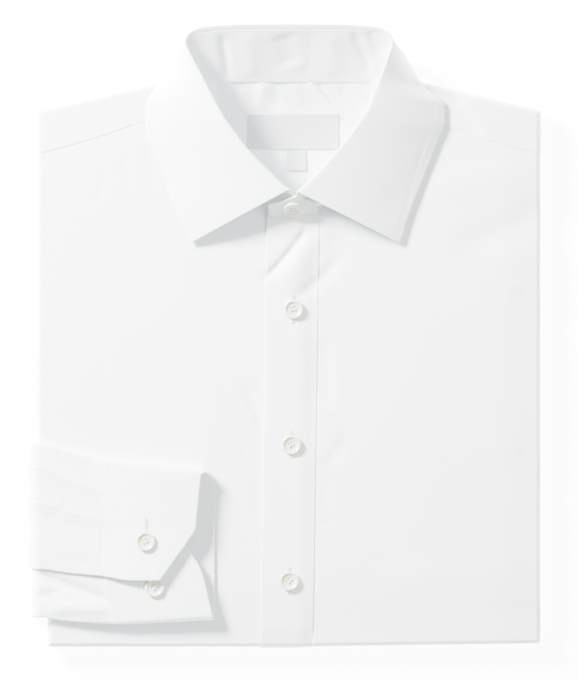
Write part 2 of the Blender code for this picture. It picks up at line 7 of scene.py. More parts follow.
from collections import namedtuple
from math import atan2, cos, hypot, pi, radians, sin

import bmesh
import bpy
import numpy as np
from mathutils import Matrix, Vector


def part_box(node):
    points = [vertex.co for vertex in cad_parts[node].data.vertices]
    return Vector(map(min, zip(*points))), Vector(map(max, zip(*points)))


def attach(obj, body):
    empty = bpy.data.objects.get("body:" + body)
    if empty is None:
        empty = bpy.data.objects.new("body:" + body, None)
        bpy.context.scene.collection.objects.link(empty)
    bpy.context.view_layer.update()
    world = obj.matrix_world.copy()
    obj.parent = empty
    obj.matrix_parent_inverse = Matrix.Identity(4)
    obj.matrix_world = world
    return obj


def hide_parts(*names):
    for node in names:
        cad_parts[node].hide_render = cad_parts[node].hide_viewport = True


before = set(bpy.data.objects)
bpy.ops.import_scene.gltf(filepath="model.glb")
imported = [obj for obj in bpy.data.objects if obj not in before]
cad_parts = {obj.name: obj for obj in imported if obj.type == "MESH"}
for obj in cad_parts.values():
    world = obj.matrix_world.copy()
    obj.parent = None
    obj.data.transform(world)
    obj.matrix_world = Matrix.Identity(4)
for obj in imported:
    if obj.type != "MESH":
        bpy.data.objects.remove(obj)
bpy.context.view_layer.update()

MM = 0.001
LAYERS_LOW, LAYERS_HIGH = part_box("folded_back_layers")
PLAN_X = (LAYERS_LOW.x + LAYERS_HIGH.x) / 2 / MM
PLAN_Y = LAYERS_LOW.y / MM
TINY = 1e-12

# The folded body
BODY_HALF_WIDTH = 163.8
BODY_LENGTH = 366.6
FOLD_RADIUS = 2.8
FOLD_DEPTH = 7.0
FOLD_RUN = 7.9
CORNER_SQUARE = 0.6
CAD_CLOTH = 1.2
CLOTH = 0.7
STIFF_CLOTH = 1.1
CORE_TOP = 15.0
SEAM_GAP = 0.3
PANEL_HEIGHT = CORE_TOP + SEAM_GAP + CAD_CLOTH / 2
SHOULDER_START = 87.0
SHOULDER_SLOPE = 18.0
SHOULDER_FADE = 150.0
LOWER_LEFT_INSET = 7.3
LOWER_LEFT_START = 134.0
LOWER_RIGHT_RISE = 2.2
LOWER_RIGHT_FADE = 60.0
SIDE_RUN = 0.9
SIDE_CURL = 1.3
TUCKED_UNDER = 4.0
CREASE_SIDE_FADE = 4.0

# How far apart the lines of the meshes lie
GRID_STEP = 2.2
TURN_STEP = 0.7
SEAM_GRID_STEP = 0.9
PLACKET_GRID_STEP = 1.6
LABEL_GRID_STEP = 0.8
SLEEVE_GRID_STEP = 1.1

# How many lines the counted meshes have, and where a cloth's edge has its extra lines and how thin it gets
RIM_SHARES = (0.1, 0.3, 0.6, 1.0)
RIM_LIMIT = 0.9
EDGE_THICKNESS = 0.12
SHOULDER_COLUMNS, SHOULDER_ROWS = 56, 16
YOKE_COLUMNS = 130
BAND_COLUMNS, BAND_ROWS = 170, 34
LEAF_COLUMNS, LIP_ROWS, ROLL_ROWS, FALL_ROWS = 190, 4, 12, 46
SLEEVE_COLUMNS, CUFF_COLUMNS = 30, 40
LAYER_COLUMNS = 560

# How many points the sleeve's section has on each of its stretches
SLIT_POINTS, CREST_POINTS, TOP_TURN_POINTS = 14, 9, 13
BACK_POINTS, BOTTOM_TURN_POINTS, UNDER_POINTS = 26, 11, 30

# A crease runs out over this share of its length, and still has this share of that run at its very end
CREASE_END = 0.3
CREASE_END_LEFT = 0.4

# Where the fronts sink a little towards their lower and right folds
LOWER_SINK = 2.0
LOWER_SINK_RUN = 48.0
RIGHT_SINK = 1.3
RIGHT_SINK_RUN = 26.0

# The placket and its buttons
PLACKET_WIDTH = 34.4
PLACKET_FOOT_X = -1.3
PLACKET_HEAD_X = 3.0
PLACKET_LENGTH = 280.0
PLACKET_LIFT = 1.6
PLACKET_SEAM_LIFT = 0.05
PLACKET_TOP_REACH = 2.5
SEAM_SINK = 1.1
SEAM_MARGIN = 0.15
SEAM_STEP = 1.0
COARSE_TO_Y = PLACKET_LENGTH - 3.0
FINE_FROM_Y = PLACKET_LENGTH - 1.0
PLACKET_TUCK = 1.3
PLACKET_TUCK_RUN = 14.0
UNDER_PLACKET_SINK = 1.6
UNDER_PLACKET_FADE = 2.0
BUTTON_STAND = 8.0
STAND_EDGE = 1.0
STAND_FADE = 14.0
NECK_RISE_RUN = 12.0
PINCH_DEPTH = 0.45
PINCH_RADIUS = 7.5
PINCH_STRETCH = 0.8
BUTTON_SHANK = 0.3
BUTTON_ROWS_Y = (219.4, 131.3, 42.9)
BUTTON_OFFSET_X = 1.2
BUTTONHOLE_LENGTH = 16.5
BUTTONHOLE_WIDTH = 2.2
ZIGZAG_STEP = 0.2
ZIGZAG_INNER = 0.25
HOLE_END_INNER = 0.3
HOLE_END_POINTS = 14

# The yoke, whose edge laps over the fronts at the seam
YOKE_LIFT = 0.4
SEAM_LAP = 5.0
LAP_COLUMNS = (0, 0.5, 0.8, 0.97)
YOKE_SIDE_REACH = 5.0
YOKE_SIDE_REACH_PART = 0.1
YOKE_SIDE_RISE = 4.0
YOKE_SIDE_RISE_PART = 0.14
YOKE_FRONT_REACH = 2.0
YOKE_BACK_REACH = 1.5

# The collar
COLLAR_CENTRE_X = 3.0
COLLAR_LIP = 5.0
COLLAR_SEAM_GAP = 0.85
BAND_TUCK = 0.1
COLLAR_ROUND = 2.6
COLLAR_BULGE = 3.6
COLLAR_ROLL = 0.7
COLLAR_CREST = 0.4
LAP_OFFSET = 0.95
LAP_FADE = 40.0
COLLAR_BUTTON_UP = 7.4
COLLAR_BUTTON_SHANK = 0.5
BAND_FOOT = -0.06
BAND_CREASES_FROM_Y = 345
BAND_CREASES_FADE = 25

# The sleeve that is folded over the front, and its cuff
SLEEVE_LIFT = CAD_CLOTH + 0.55
PLEAT_HEIGHT = 1.3
PLEAT_END_FADE = 0.75
PLEAT_RUN = 9.0
PLEAT_END_PART = 0.4
PLEAT_NEAR = (-9.0, -6.5, -4.0, -2.0, -0.9, -0.3, 0.02, 0.35, 1.0)
PLEAT_BELOW = 10.5
PLEAT_ABOVE = 2.2
SLEEVE_DROP = 16.4
UNDERLAP = 24.0
CUFF_SEAM_X = -120.0
CUFF_SEAM_SLANT = 6.0
CUFF_SEAM_LOW = 15.0
CUFF_SEAM_FADE = 30.0
CUFF_LAP = 2.5
CUFF_LAP_SINK = 0.8
CUFF_LAP_SINK_START = 0.955
CUFF_LAP_SINK_RUN = 0.04
SLEEVE_CREASE_END_PART = 0.14
CUFF_BACK_END_X = -48.0
CUFF_BACK_ROUND = 8.2
CUFF_BACK_FULL_Y = 106.0
CUFF_BACK_FADE = 12.0
CUFF_HOLE_RISE = 6.0
CUFF_HOLE_SHIFT = 0.6
CUFF_HOLE_SLANT = -0.04

# Labels inside the neck
LABEL_CLOTH = 0.45
LABEL_WIDTH = 59.0
LABEL_LENGTH = 22.8
LABEL_TOP_Y = 346.5
TAG_WIDTH = 12.6
TAG_LENGTH = 13.4
TAG_TOP_Y = 323.4
TAG_X = 5.1
LABEL_GAP = 0.25
LABEL_CURL = 0.25
TAG_CURL = 0.9
LABEL_STITCH = 1.0

# Buttons
BUTTON_RADIUS = 6.35
BUTTON_SIDES = 96
HOLE_RADIUS = 0.85
HOLE_SPREAD = 1.55
HOLE_SIDES = 24
DRILL_TOP, DRILL_FOOT = 4.0, -2.0
SHARP_ANGLE = 35
THREAD_RADIUS = 0.17
THREAD_SIDES = 6
THREAD_PLACES = (-0.28, 0.0, 0.28)
THREAD_ARCH = 0.32
THREAD_DIVE = -1.1
THREAD_DIVE_START = 0.8
THREAD_POINTS = 9
FRONT_BUTTON_TURN = 17.0
COLLAR_BUTTON_TURN = 8.0
CUFF_BUTTON_TURN = 25.0

# Stitching
STITCH_LENGTH = 2.1
STITCH_PITCH = 2.7
STITCH_RADIUS = 0.17
STITCH_SEGMENTS, STITCH_RINGS = 8, 6
LEAF_STITCH_START = 0.3
CUFF_STITCH_START = 0.06
SLIT_STITCH_START = 0.1
BAND_STITCH = 2.6
EDGE_STITCH = 1.6
TOP_STITCH = 6.0

# Colours, as linear values
COTTON_PALE = (0.87, 0.885, 0.9)
COTTON_DARK = (0.84, 0.855, 0.87)
SATIN_PALE = (0.50, 0.51, 0.53)
SATIN_DARK = (0.48, 0.49, 0.51)
PEARL_PALE = (0.81, 0.80, 0.70)
PEARL_DARK = (0.56, 0.55, 0.44)
FLOOR_COLOUR = (0.9, 0.9, 0.9)
SKY_COLOUR = (0.97, 0.985, 1.0)

# How fine the noise is that makes cloth uneven, mottles it, and bends and bands the resin
UNEVEN_SCALE = 38.0
MOTTLE_SCALE = 26.0
BEND_SCALE = 160.0
BANDS_SCALE = 420.0

# Sockets that are known by their number: a texture coordinate's Object, and a Mix node's colours
OBJECT_PLACE = 3
FIRST_COLOUR, SECOND_COLOUR, MIXED_COLOUR = 6, 7, 2

# The view and the light, in millimetres for the view and in metres and watts for the lamps
LENS = 300.0
SENSOR = 36.0
VIEW_X = 0.65
VIEW_Y = 199.2
VIEW_HEIGHT = 442.65
FRONTS_TOP = 17.0
VIEW_REACH = 20.0
FLOOR_REACH = 1500.0
FLOOR_DEPTH = 10.0
FLOOR_GLOW = 9.0
SKY_STRENGTH = 1.15
KEY_PLACE = (-1.1, 0.86, 0.8)
KEY_SIZE = 0.45
KEY_POWER = 318.0
FILL_PLACE = (1.0, 0.2, 1.3)
FILL_SIZE = 1.4
FILL_POWER = 32.0


def listed(kind, *rows):
    """A table's rows, each as a named tuple of this kind."""
    return tuple(kind(*row) for row in rows)


# Half of the collar's fold and of its neck seam, from the middle of the back to the lapped end in front.
# shift_x moves both sides alike: at the back the collar lies further to the left.
BandRow = namedtuple("BandRow", "along fold_x fold_y fold_z seam_x seam_y seam_z shift_x")
BAND = listed(
    BandRow,
    (0, 0, 404.4, 38.5, 0, 369.0, 18.3, -2.7),
    (30, 30, 404.2, 38.5, 27, 369.0, 18.3, -2.7),
    (56, 55, 402.6, 38.2, 47, 368.8, 18.2, -2.7),
    (66, 64, 399.2, 38.0, 56, 367.5, 18.1, -2.7),
    (74, 67, 393.0, 38.0, 60.5, 364.0, 18.0, -2.6),
    (84, 64, 385.0, 38.0, 62, 357.0, 17.8, -2.2),
    (99, 57.5, 371.0, 38.0, 60.5, 346.0, 17.8, -1.2),
    (113, 51.5, 358.0, 38.0, 56.5, 334.5, 17.8, -0.4),
    (127, 45.5, 346.0, 38.0, 50, 323.5, 17.8, 0),
    (143, 36.5, 333.0, 37.5, 40, 311.0, 17.8, 0),
    (158, 27, 321.0, 37.0, 29, 300.0, 17.9, 0),
    (177, 14, 307.5, 36.5, 14.5, 288.5, 18.3, 0),
    (193, 2, 296.5, 36.0, 2, 281.6, 18.9, 0),
    (203, -7, 293.0, 33.0, -7, 281.2, 19.0, 0),
    (213, -16, 291.0, 30.0, -16, 281.2, 19.0, 0),
)
BAND_FRONT = 193.0
BAND_END = 213.0

# The band's rows beside the placket, from the lapped front outwards
BAND_BY_PLACKET = BAND[12:9:-1]

# Half of the outer edge of the turned-down collar. shift_x moves the edge of both sides alike.
LeafRow = namedtuple("LeafRow", "along edge_x edge_y edge_z shift_x")
LEAF = listed(
    LeafRow,
    (0, 0, 382.0, 2.4, -2.7),
    (30, 28, 382.0, 2.4, -2.7),
    (56, 52, 384.0, 2.8, -2.7),
    (66, 64, 386.0, 4.2, -2.7),
    (74, 73.5, 386.0, 7.0, -2.7),
    (84, 78.5, 378.0, 11.5, -2.4),
    (99, 86.0, 365.0, 17.2, -2.0),
    (113, 97.0, 352.0, 18.6, 1.0),
    (127, 97.2, 341.5, 18.8, 1.2),
    (143, 92.6, 327.0, 18.8, 0.3),
    (158, 86, 310.0, 18.8, 0.5),
    (177, 77, 285.0, 18.9, -0.3),
    (193, 68.0, 262.3, 19.0, 1.2),
)

# The neck edge of the fronts: how far it lies from the collar's centre at each height
NeckRow = namedtuple("NeckRow", "y half_width")
NECK = listed(
    NeckRow,
    (0, -BUTTON_STAND),
    (279.5, -BUTTON_STAND),
    (288.5, 13),
    (300, 27.5),
    (311, 38.5),
    (323.5, 48.5),
    (334.5, 55),
    (347, 59),
    (358, 61),
    (400, 61),
)

# The seam between each front and the yoke, before the shoulders are sloped
SeamRow = namedtuple("SeamRow", "x y")
YOKE_SEAM = listed(
    SeamRow,
    (0, 347),
    (60, 346.5),
    (95, 343),
    (130, 338.5),
    (200, 334),
)
YOKE_NECK_X = 60.0
YOKE_NECK_RISE = 12.0

# The floor of the neck opening, where the back of the yoke lies
FloorRow = namedtuple("FloorRow", "y half_width z")
NECK_FLOOR = listed(
    FloorRow,
    (284, 5, 7.6),
    (292, 14, 7.4),
    (302, 25, 7.2),
    (314, 37, 7.2),
    (328, 48, 7.6),
    (341, 54, 8.8),
    (352, 56.5, 11.2),
    (361, 57, 14.4),
    (368.3, 55, 17.0),
)

# The folded sleeve: where its folds, its slit and its pleats lie at each place across the shirt
SleeveRow = namedtuple("SleeveRow", "x top_fold bottom_fold slit rise lap pleat_1 pleat_2")
SLEEVE = listed(
    SleeveRow,
    (-200, 134.5, 19.8, 51.8, 1.7, 1.7, 120.5, 97.2),
    (-164, 133.5, 19.8, 51.2, 1.7, 1.7, 118.5, 95.8),
    (-145, 128.5, 17.0, 48.6, 2.2, 1.9, 110.5, 89.8),
    (-120, 123.4, 15.4, 46.2, 3.4, 2.6, 101.4, 83.5),
    (-83, 120.0, 16.6, 43.6, 5.0, 4.3, 97.0, 80.0),
    (-53, 117.6, 18.2, 43.6, 5.8, 4.6, 95.0, 79.0),
)

# The cuff's open end: how far across the shirt each layer reaches, at each height along the end
EndRow = namedtuple("EndRow", "y upper_x under_x")
CUFF_END = listed(
    EndRow,
    (15, -83.5, -48.0),
    (43.6, -83.5, -54.5),
    (52.7, -77.0, -57.5),
    (65, -68.0, -66.0),
    (76.7, -60.3, -74.5),
    (120, -56.0, -80.0),
)

# The layers of the flattened sleeve and cuff: the one on top, the one on the front, and the one between
UPPER, BACK, UNDER = 0, 1, 2

# The cuff's buttons: the fastened one, and the one that the cut corner leaves half covered
CuffButton = namedtuple("CuffButton", "x y layer")
CUFF_BUTTONS = listed(
    CuffButton,
    (-92.6, 68.9, UPPER),
    (-86.8, 39.0, UNDER),
)

# The edges of the folded layers under the fronts, from the surface up
LAYER_ANGLES = (-88, -60, -30, 0, 30, 60, 88)
LAYER_ROUND = 1.6
LayerRow = namedtuple("LayerRow", "low high inset wander phase")
LAYERS = listed(
    LayerRow,
    (0.0, 1.5, 0.9, 0.7, 0.3),
    (1.6, 3.0, 0.3, 0.5, 2.1),
    (3.1, 4.6, 1.1, 0.8, 4.0),
    (4.7, 6.2, 0.6, 0.6, 5.4),
)

# The section of a turned button, from the middle of its face to the middle of its back
ButtonRow = namedtuple("ButtonRow", "radius height")
BUTTON_SECTION = listed(
    ButtonRow,
    (3.2, 1.25),
    (3.9, 1.32),
    (4.3, 1.6),
    (4.6, 1.95),
    (5.0, 2.2),
    (5.45, 2.28),
    (5.9, 2.15),
    (6.22, 1.8),
    (BUTTON_RADIUS, 1.35),
    (6.2, 0.85),
    (5.7, 0.4),
    (4.9, 0.1),
    (4.2, 0.0),
)

# Creases: from one end to the other, bowed to the left, with a width to the left and one to the right
Crease = namedtuple("Crease", "x1 y1 x2 y2 bow left right height")
FRONT_CREASES = listed(
    Crease,
    (-16.0, 239.0, 11.5, 272.0, -1.5, 2.6, 3.4, -1.88),
    (-3.0, 236.0, 27.0, 275.0, 1.5, 7.0, 8.5, 1.5),
    (4.0, 226.0, 33.0, 252.0, -1.0, 3.6, 4.6, -1.12),
    (24.0, 197.0, 26.0, 156.0, 1.2, 3.0, 15.0, -1.05),
    (23.5, 117.5, 37.5, 138.0, -1.0, 3.2, 4.8, -0.62),
    (24.5, 108.0, 24.5, 88.0, 0.5, 2.6, 3.2, -0.38),
    (21.5, 76.0, 30.0, 84.0, 0.5, 2.4, 2.8, -0.38),
    (-28.8, 169.0, -17.0, 139.5, 0.8, 3.6, 2.4, -0.94),
    (-35.5, 139.0, -27.0, 121.0, 0.5, 3.4, 3.0, -0.5),
    (-24.0, 120.0, -18.0, 84.0, 0.8, 3.0, 3.0, -0.38),
    (-106.0, 322.0, -104.0, 299.0, 0.6, 3.0, 3.6, -0.44),
    (-92.0, 326.0, -88.0, 300.0, 0.6, 3.2, 4.0, -0.38),
    (-120.0, 314.0, -122.0, 296.0, 0.4, 3.0, 3.0, -0.31),
    (112.0, 262.0, 170.0, 298.0, -4.0, 11.0, 13.0, -1.5),
    (96.0, 300.0, 168.0, 322.0, 3.0, 9.0, 12.0, 0.75),
    (148.0, 232.0, 166.0, 214.0, 1.0, 6.0, 7.0, -0.62),
    (150.0, 128.0, 166.0, 102.0, 1.5, 6.0, 7.0, -0.62),
    (60.0, 40.0, 150.0, 52.0, 3.0, 11.0, 15.0, 0.62),
    (-60.0, 232.0, -120.0, 200.0, 5.0, 26.0, 22.0, 0.5),
    (70.0, 180.0, 110.0, 60.0, -8.0, 26.0, 30.0, 0.5),
)
SHOULDER_CREASES = listed(
    Crease,
    (-101.0, 352.0, -97.0, 338.0, 0.5, 3.0, 4.0, -0.35),
    (104.0, 366.0, 122.0, 340.0, 2.0, 5.0, 6.0, -0.6),
    (112.0, 360.0, 134.0, 344.0, 1.0, 6.0, 7.0, 0.7),
)
NECK_CREASES = listed(
    Crease,
    (12.0, 368.0, 33.0, 344.0, 1.0, 2.6, 2.0, 1.26),
    (17.5, 368.0, 30.0, 352.0, 0.5, 1.6, 1.8, -0.98),
    (33.0, 363.0, 49.0, 346.0, 0.8, 2.8, 1.8, -1.4),
    (39.0, 366.0, 54.0, 350.0, 0.5, 2.6, 2.4, 0.84),
    (-16.0, 368.0, -20.5, 350.0, 0.5, 5.0, 4.0, 0.98),
    (-8.0, 368.0, -7.0, 352.0, 0.3, 3.6, 3.4, -0.56),
    (4.0, 367.0, 7.0, 352.0, 0.3, 3.0, 4.0, 0.42),
    (-33.0, 368.0, -37.0, 350.0, 0.5, 4.0, 4.0, -0.56),
)
BAND_CREASES = listed(
    Crease,
    (-43.5, 396.0, -39.5, 369.0, 0.5, 3.4, 3.0, -1.2),
    (-27.0, 398.0, -25.0, 371.0, 0.8, 7.0, 6.0, 0.83),
    (-4.0, 397.0, 1.0, 378.0, 1.0, 9.0, 8.0, -1.12),
    (14.0, 399.0, 13.0, 371.0, 0.5, 5.0, 5.5, -0.6),
    (27.0, 398.0, 28.0, 371.0, 0.5, 7.0, 6.0, 0.75),
    (41.5, 397.0, 52.5, 374.0, 1.0, 3.6, 2.6, -1.27),
    (52.0, 399.0, 59.0, 384.0, 0.5, 3.0, 3.0, -0.75),
)
SLEEVE_UPPER_CREASES = listed(
    Crease,
    (-121.5, 122.0, -120.0, 103.0, 0.3, 2.4, 1.6, 0.6),
    (-133.0, 121.0, -123.5, 107.0, 0.4, 2.4, 3.0, -0.5),
    (-157.0, 84.5, -143.0, 91.5, 0.6, 1.8, 2.2, -0.4),
    (-150.0, 66.0, -121.0, 61.0, 1.0, 5.0, 6.0, 0.4),
    (-160.0, 60.0, -128.0, 53.0, 0.6, 2.4, 3.0, -0.3),
)
SLEEVE_UNDER_CREASES = listed(
    Crease,
    (-168.0, 47.5, -112.0, 27.5, 1.5, 3.2, 3.6, -2.21),
    (-156.0, 24.5, -119.0, 24.0, 1.2, 4.0, 4.6, 1.7),
    (-165.0, 31.0, -146.0, 37.0, 0.6, 2.6, 3.0, -1.02),
    (-160.0, 21.0, -140.0, 18.0, 0.3, 2.0, 2.4, -0.68),
)
CUFF_CREASES = listed(
    Crease,
    (-112.0, 112.0, -70.0, 108.0, 1.0, 5.0, 8.0, 0.25),
    (-108.0, 58.0, -88.0, 54.0, 0.5, 4.0, 5.0, -0.2),
)
LEAF_CREASES = listed(
    Crease,
    (-78.0, 300.0, -40.0, 276.0, 2.0, 9.0, 10.0, 0.3),
    (88.0, 318.0, 60.0, 280.0, 2.0, 8.0, 9.0, -0.3),
    (88.0, 328.0, 73.5, 281.0, 0.6, 1.0, 1.2, -0.16),
)

# Each cloth piece: its material's slot, how it is held, what it rests on and the stitches in it, and then
# the cut of what shows of it, as width, length and area in metres
COTTON, STIFF, SATIN = "white_cotton", "stiff_cotton", "label_satin"
FRONTS = ["front_right", "front_left"]
Lying = namedtuple("Lying", "node slot held rests_on stitches width length area")
LYING = listed(
    Lying,
    ("front_right", COTTON, "folded", ["folded_back_layers"], [], 0.18, 0.37, 0.059),
    ("front_left", COTTON, "folded", ["folded_back_layers"], [], 0.17, 0.37, 0.053),
    ("front_placket", STIFF, "folded", FRONTS, ["stitches_front"], 0.035, 0.3, 0.0102),
    ("yoke_shoulder_right", COTTON, "folded", FRONTS[:1], ["stitches_shoulders"], 0.12, 0.055, 0.0042),
    ("yoke_shoulder_left", COTTON, "folded", FRONTS[1:], [], 0.12, 0.055, 0.0042),
    ("yoke_back", COTTON, "laid", ["folded_back_layers"], [], 0.126, 0.09, 0.0072),
    ("collar_band", STIFF, "folded", FRONTS, [], 0.43, 0.036, 0.0125),
    ("collar_leaf", STIFF, "folded", ["collar_band", *FRONTS], ["stitches_collar"], 0.44, 0.07, 0.0215),
    ("sleeve_right", COTTON, "folded", ["front_right"], [], 0.26, 0.07, 0.0165),
    ("cuff_right", STIFF, "folded", ["front_right"], ["stitches_cuff"], 0.25, 0.072, 0.0145),
    ("neck_label", SATIN, "laid", ["yoke_back"], ["stitches_label"], 0.059, 0.0228, None),
    ("size_tag", SATIN, "laid", ["yoke_back"], [], 0.0126, 0.0134, None),
)


def column(table, name):
    return np.array([getattr(row, name) for row in table], float)


def curve_through(table, key, name, at):
    """A smooth value between a table's rows, with no overshoot."""
    keys = column(table, key)
    values = column(table, name)
    steps = np.diff(keys)
    slopes = np.diff(values) / steps
    before, after = slopes[:-1], slopes[1:]
    product = before * after
    with np.errstate(divide="ignore", invalid="ignore"):
        middle = np.where(product > 0, 2 * product / (before + after), 0.0)
    tangents = np.concatenate([slopes[:1], middle, slopes[-1:]])
    place = np.clip(at, keys[0], keys[-1])
    i = np.clip(np.searchsorted(keys, place, side="right") - 1, 0, len(steps) - 1)
    t = (place - keys[i]) / steps[i]
    start = (2 * t**3 - 3 * t**2 + 1) * values[i] + (t**3 - 2 * t**2 + t) * steps[i] * tangents[i]
    end = (3 * t**2 - 2 * t**3) * values[i + 1] + (t**3 - t**2) * steps[i] * tangents[i + 1]
    return start + end


def ease(value):
    """A soft step from 0 to 1."""
    t = np.clip(value, 0.0, 1.0)
    return t * t * (3 - 2 * t)


def last_part(share, part):
    """0 up to the last part of the way, then a soft step to 1."""
    return ease((share - (1 - part)) / part)


def unit(vectors):
    return vectors / np.linalg.norm(vectors, axis=-1, keepdims=True)


def crease_height(creases, x, y):
    """How far these creases lift or sink the cloth at each place."""
    height = np.zeros(np.broadcast(x, y).shape)
    for crease in creases:
        run_x, run_y = crease.x2 - crease.x1, crease.y2 - crease.y1
        length = hypot(run_x, run_y)
        t = ((x - crease.x1) * run_x + (y - crease.y1) * run_y) / length**2
        off = ((y - crease.y1) * run_x - (x - crease.x1) * run_y) / length
        off = off - crease.bow * 4 * t * (1 - t)
        width = np.where(off > 0, crease.left, crease.right)
        ends = ease(t / CREASE_END + CREASE_END_LEFT) * ease((1 - t) / CREASE_END + CREASE_END_LEFT)
        height += crease.height * ends * np.exp(-((off / width) ** 2))
    return height


def shaped(x, y, inset_share=1.0):
    """Moves a point of the plain rectangle to the real outline: sloped shoulders, uneven bottom corners."""
    slope = SHOULDER_SLOPE * np.maximum(np.abs(x) - SHOULDER_START, 0) / (BODY_HALF_WIDTH - SHOULDER_START)
    drop = slope * ease((y - BODY_LENGTH + SHOULDER_FADE) / SHOULDER_FADE)
    side = np.maximum(-x, 0) / BODY_HALF_WIDTH
    inset = LOWER_LEFT_INSET * side**2 * ease(1 - y / LOWER_LEFT_START)
    rise = LOWER_RIGHT_RISE * np.maximum(x, 0) / BODY_HALF_WIDTH * (1 - ease(y / LOWER_RIGHT_FADE))
    return x + inset * inset_share, y - drop + rise


def over_body(x, y, height=0.0, run=np.inf, inset_share=1.0):
    """Points lying this high over the fronts. Past the folds they turn round and run down.

    After run they curl under, if run is given. The sleeve and cuff have an inset_share of 0: they lie
    straight, out over the body's inset lower corner.
    """
    x, y, height = np.broadcast_arrays(np.asarray(x, float), np.asarray(y, float), height)
    low, high = FOLD_RADIUS, BODY_LENGTH - FOLD_RADIUS
    beyond_x = np.maximum(np.abs(x) - (BODY_HALF_WIDTH - FOLD_RADIUS), 0.0)
    beyond_y = np.maximum(np.maximum(low - y, y - high), 0.0)
    past = np.maximum(beyond_x, beyond_y)
    at_least = np.maximum(past, TINY)
    turn = np.where(
        beyond_x >= beyond_y,
        pi / 4 * beyond_y / at_least,
        pi / 2 - pi / 4 * beyond_x / at_least,
    )
    core_x = np.clip(x, -BODY_HALF_WIDTH + FOLD_RADIUS, BODY_HALF_WIDTH - FOLD_RADIUS)
    core_y = np.clip(y, low, high)
    square = np.maximum(np.cos(turn), np.sin(turn)) ** -CORNER_SQUARE
    out_x = np.cos(turn) * square * np.sign(x)
    out_y = np.sin(turn) * square * np.where(y < low, -1, 1)
    angle = np.minimum(past / FOLD_RUN, 1.0) * pi / 2
    straight = np.maximum(past - FOLD_RUN, 0.0)
    curl = np.clip((straight - run) / SIDE_CURL, 0, pi / 2)
    inward = SIDE_CURL * (1 - np.cos(curl)) + np.maximum(straight - run - SIDE_CURL * pi / 2, 0)
    reach = (FOLD_RADIUS + np.maximum(height, 0)) * np.sin(angle) - inward
    z = PANEL_HEIGHT - FOLD_DEPTH + (FOLD_DEPTH + height) * np.cos(angle)
    z = z - np.minimum(straight, run) - SIDE_CURL * np.sin(curl)
    place_x, place_y = shaped(core_x + out_x * reach, core_y + out_y * reach, inset_share)
    return np.stack([place_x, place_y, z], axis=-1)


def front_relief(x, y):
    """The fronts' creases, and how they sink towards the lower and right folds."""
    sink = LOWER_SINK * (1 - ease(y / LOWER_SINK_RUN))
    sink = sink + RIGHT_SINK * ease((x - BODY_HALF_WIDTH + RIGHT_SINK_RUN) / RIGHT_SINK_RUN)
    return crease_height(FRONT_CREASES, x, y) - sink


def spaced(start, end, step=GRID_STEP):
    return np.linspace(start, end, max(int(abs(end - start) / step) + 1, 2))


def turned_down():
    """How far past the start of a fold the lines lie that turn round it and are tucked under."""
    return spaced(0, FOLD_RUN + SIDE_RUN + SIDE_CURL * pi / 2 + TUCKED_UNDER, TURN_STEP)[1:]


def placket_x(y):
    return PLACKET_FOOT_X + (PLACKET_HEAD_X - PLACKET_FOOT_X) * y / PLACKET_LENGTH


def neck_x(y):
    return np.interp(y, column(NECK, "y"), column(NECK, "half_width"))


def seam_y(x):
    return curve_through(YOKE_SEAM, "x", "y", np.abs(x))


def rimmed(grid, rim):
    """Adds lines close to each border of a grid, so that the cloth's edge can be round."""
    for axis in (0, 1):
        lines = np.moveaxis(grid, axis, 0)
        start, end = [], []
        for first, second, made in ((lines[0], lines[1], start), (lines[-1], lines[-2], end)):
            length = np.maximum(np.linalg.norm(second - first, axis=-1, keepdims=True), TINY)
            for share in RIM_SHARES:
                made.append(first + (second - first) * np.minimum(share * rim / length, share * RIM_LIMIT))
        lines = np.concatenate([lines[:1], start, lines[1:-1], end[::-1], lines[-1:]])
        grid = np.moveaxis(lines, 0, axis)
    return grid


def run_along(grid, axis):
    """The length along each line of the grid, from its start to each point."""
    steps = np.linalg.norm(np.diff(grid, axis=axis), axis=-1)
    return np.concatenate([np.zeros_like(np.take(steps, [0], axis)), np.cumsum(steps, axis=axis)], axis)


def from_borders(grid):
    """How far each point lies from the nearest border of its cloth."""
    nearest = []
    for axis in (0, 1):
        run = run_along(grid, axis)
        nearest.append(np.minimum(run, np.take(run, [-1], axis) - run))
    return np.minimum(*nearest)


def grid_faces(rows, columns, start=0):
    first = (np.arange(rows - 1)[:, None] * columns + np.arange(columns - 1) + start).ravel()
    return np.stack([first, first + 1, first + columns + 1, first + columns], axis=1)


def border(rows, columns):
    """The grid's outer points, in order round it."""
    top = list(range(columns))
    right = [r * columns + columns - 1 for r in range(1, rows)]
    bottom = [(rows - 1) * columns + c for c in range(columns - 2, -1, -1)]
    left = [r * columns for r in range(rows - 2, 0, -1)]
    return top + right + bottom + left


def in_scene(name, data):
    """A new object in the scene, of this mesh, lamp or lens."""
    made = bpy.data.objects.new(name, data)
    bpy.context.scene.collection.objects.link(made)
    return made


def object_from(name, points, faces, look, places=None):
    """A smooth closed mesh from points in millimetres, facing out. places on the cloth are its own UV map."""
    mesh = bpy.data.meshes.new(name)
    plan = (np.asarray(points, float) + [PLAN_X, PLAN_Y, 0.0]) * MM
    mesh.from_pydata(plan.tolist(), [], [list(map(int, face)) for face in faces])
    build = bmesh.new()
    build.from_mesh(mesh)
    bmesh.ops.recalc_face_normals(build, faces=build.faces)
    build.to_mesh(mesh)
    build.free()
    if places is not None:
        corners = np.empty(len(mesh.loops), np.int32)
        mesh.loops.foreach_get("vertex_index", corners)
        layer = mesh.uv_layers.new(name="cloth")
        layer.data.foreach_set("uv", (np.asarray(places)[corners] * MM).ravel())
    mesh.materials.append(look)
    mesh.shade_smooth()
    return in_scene(name, mesh)


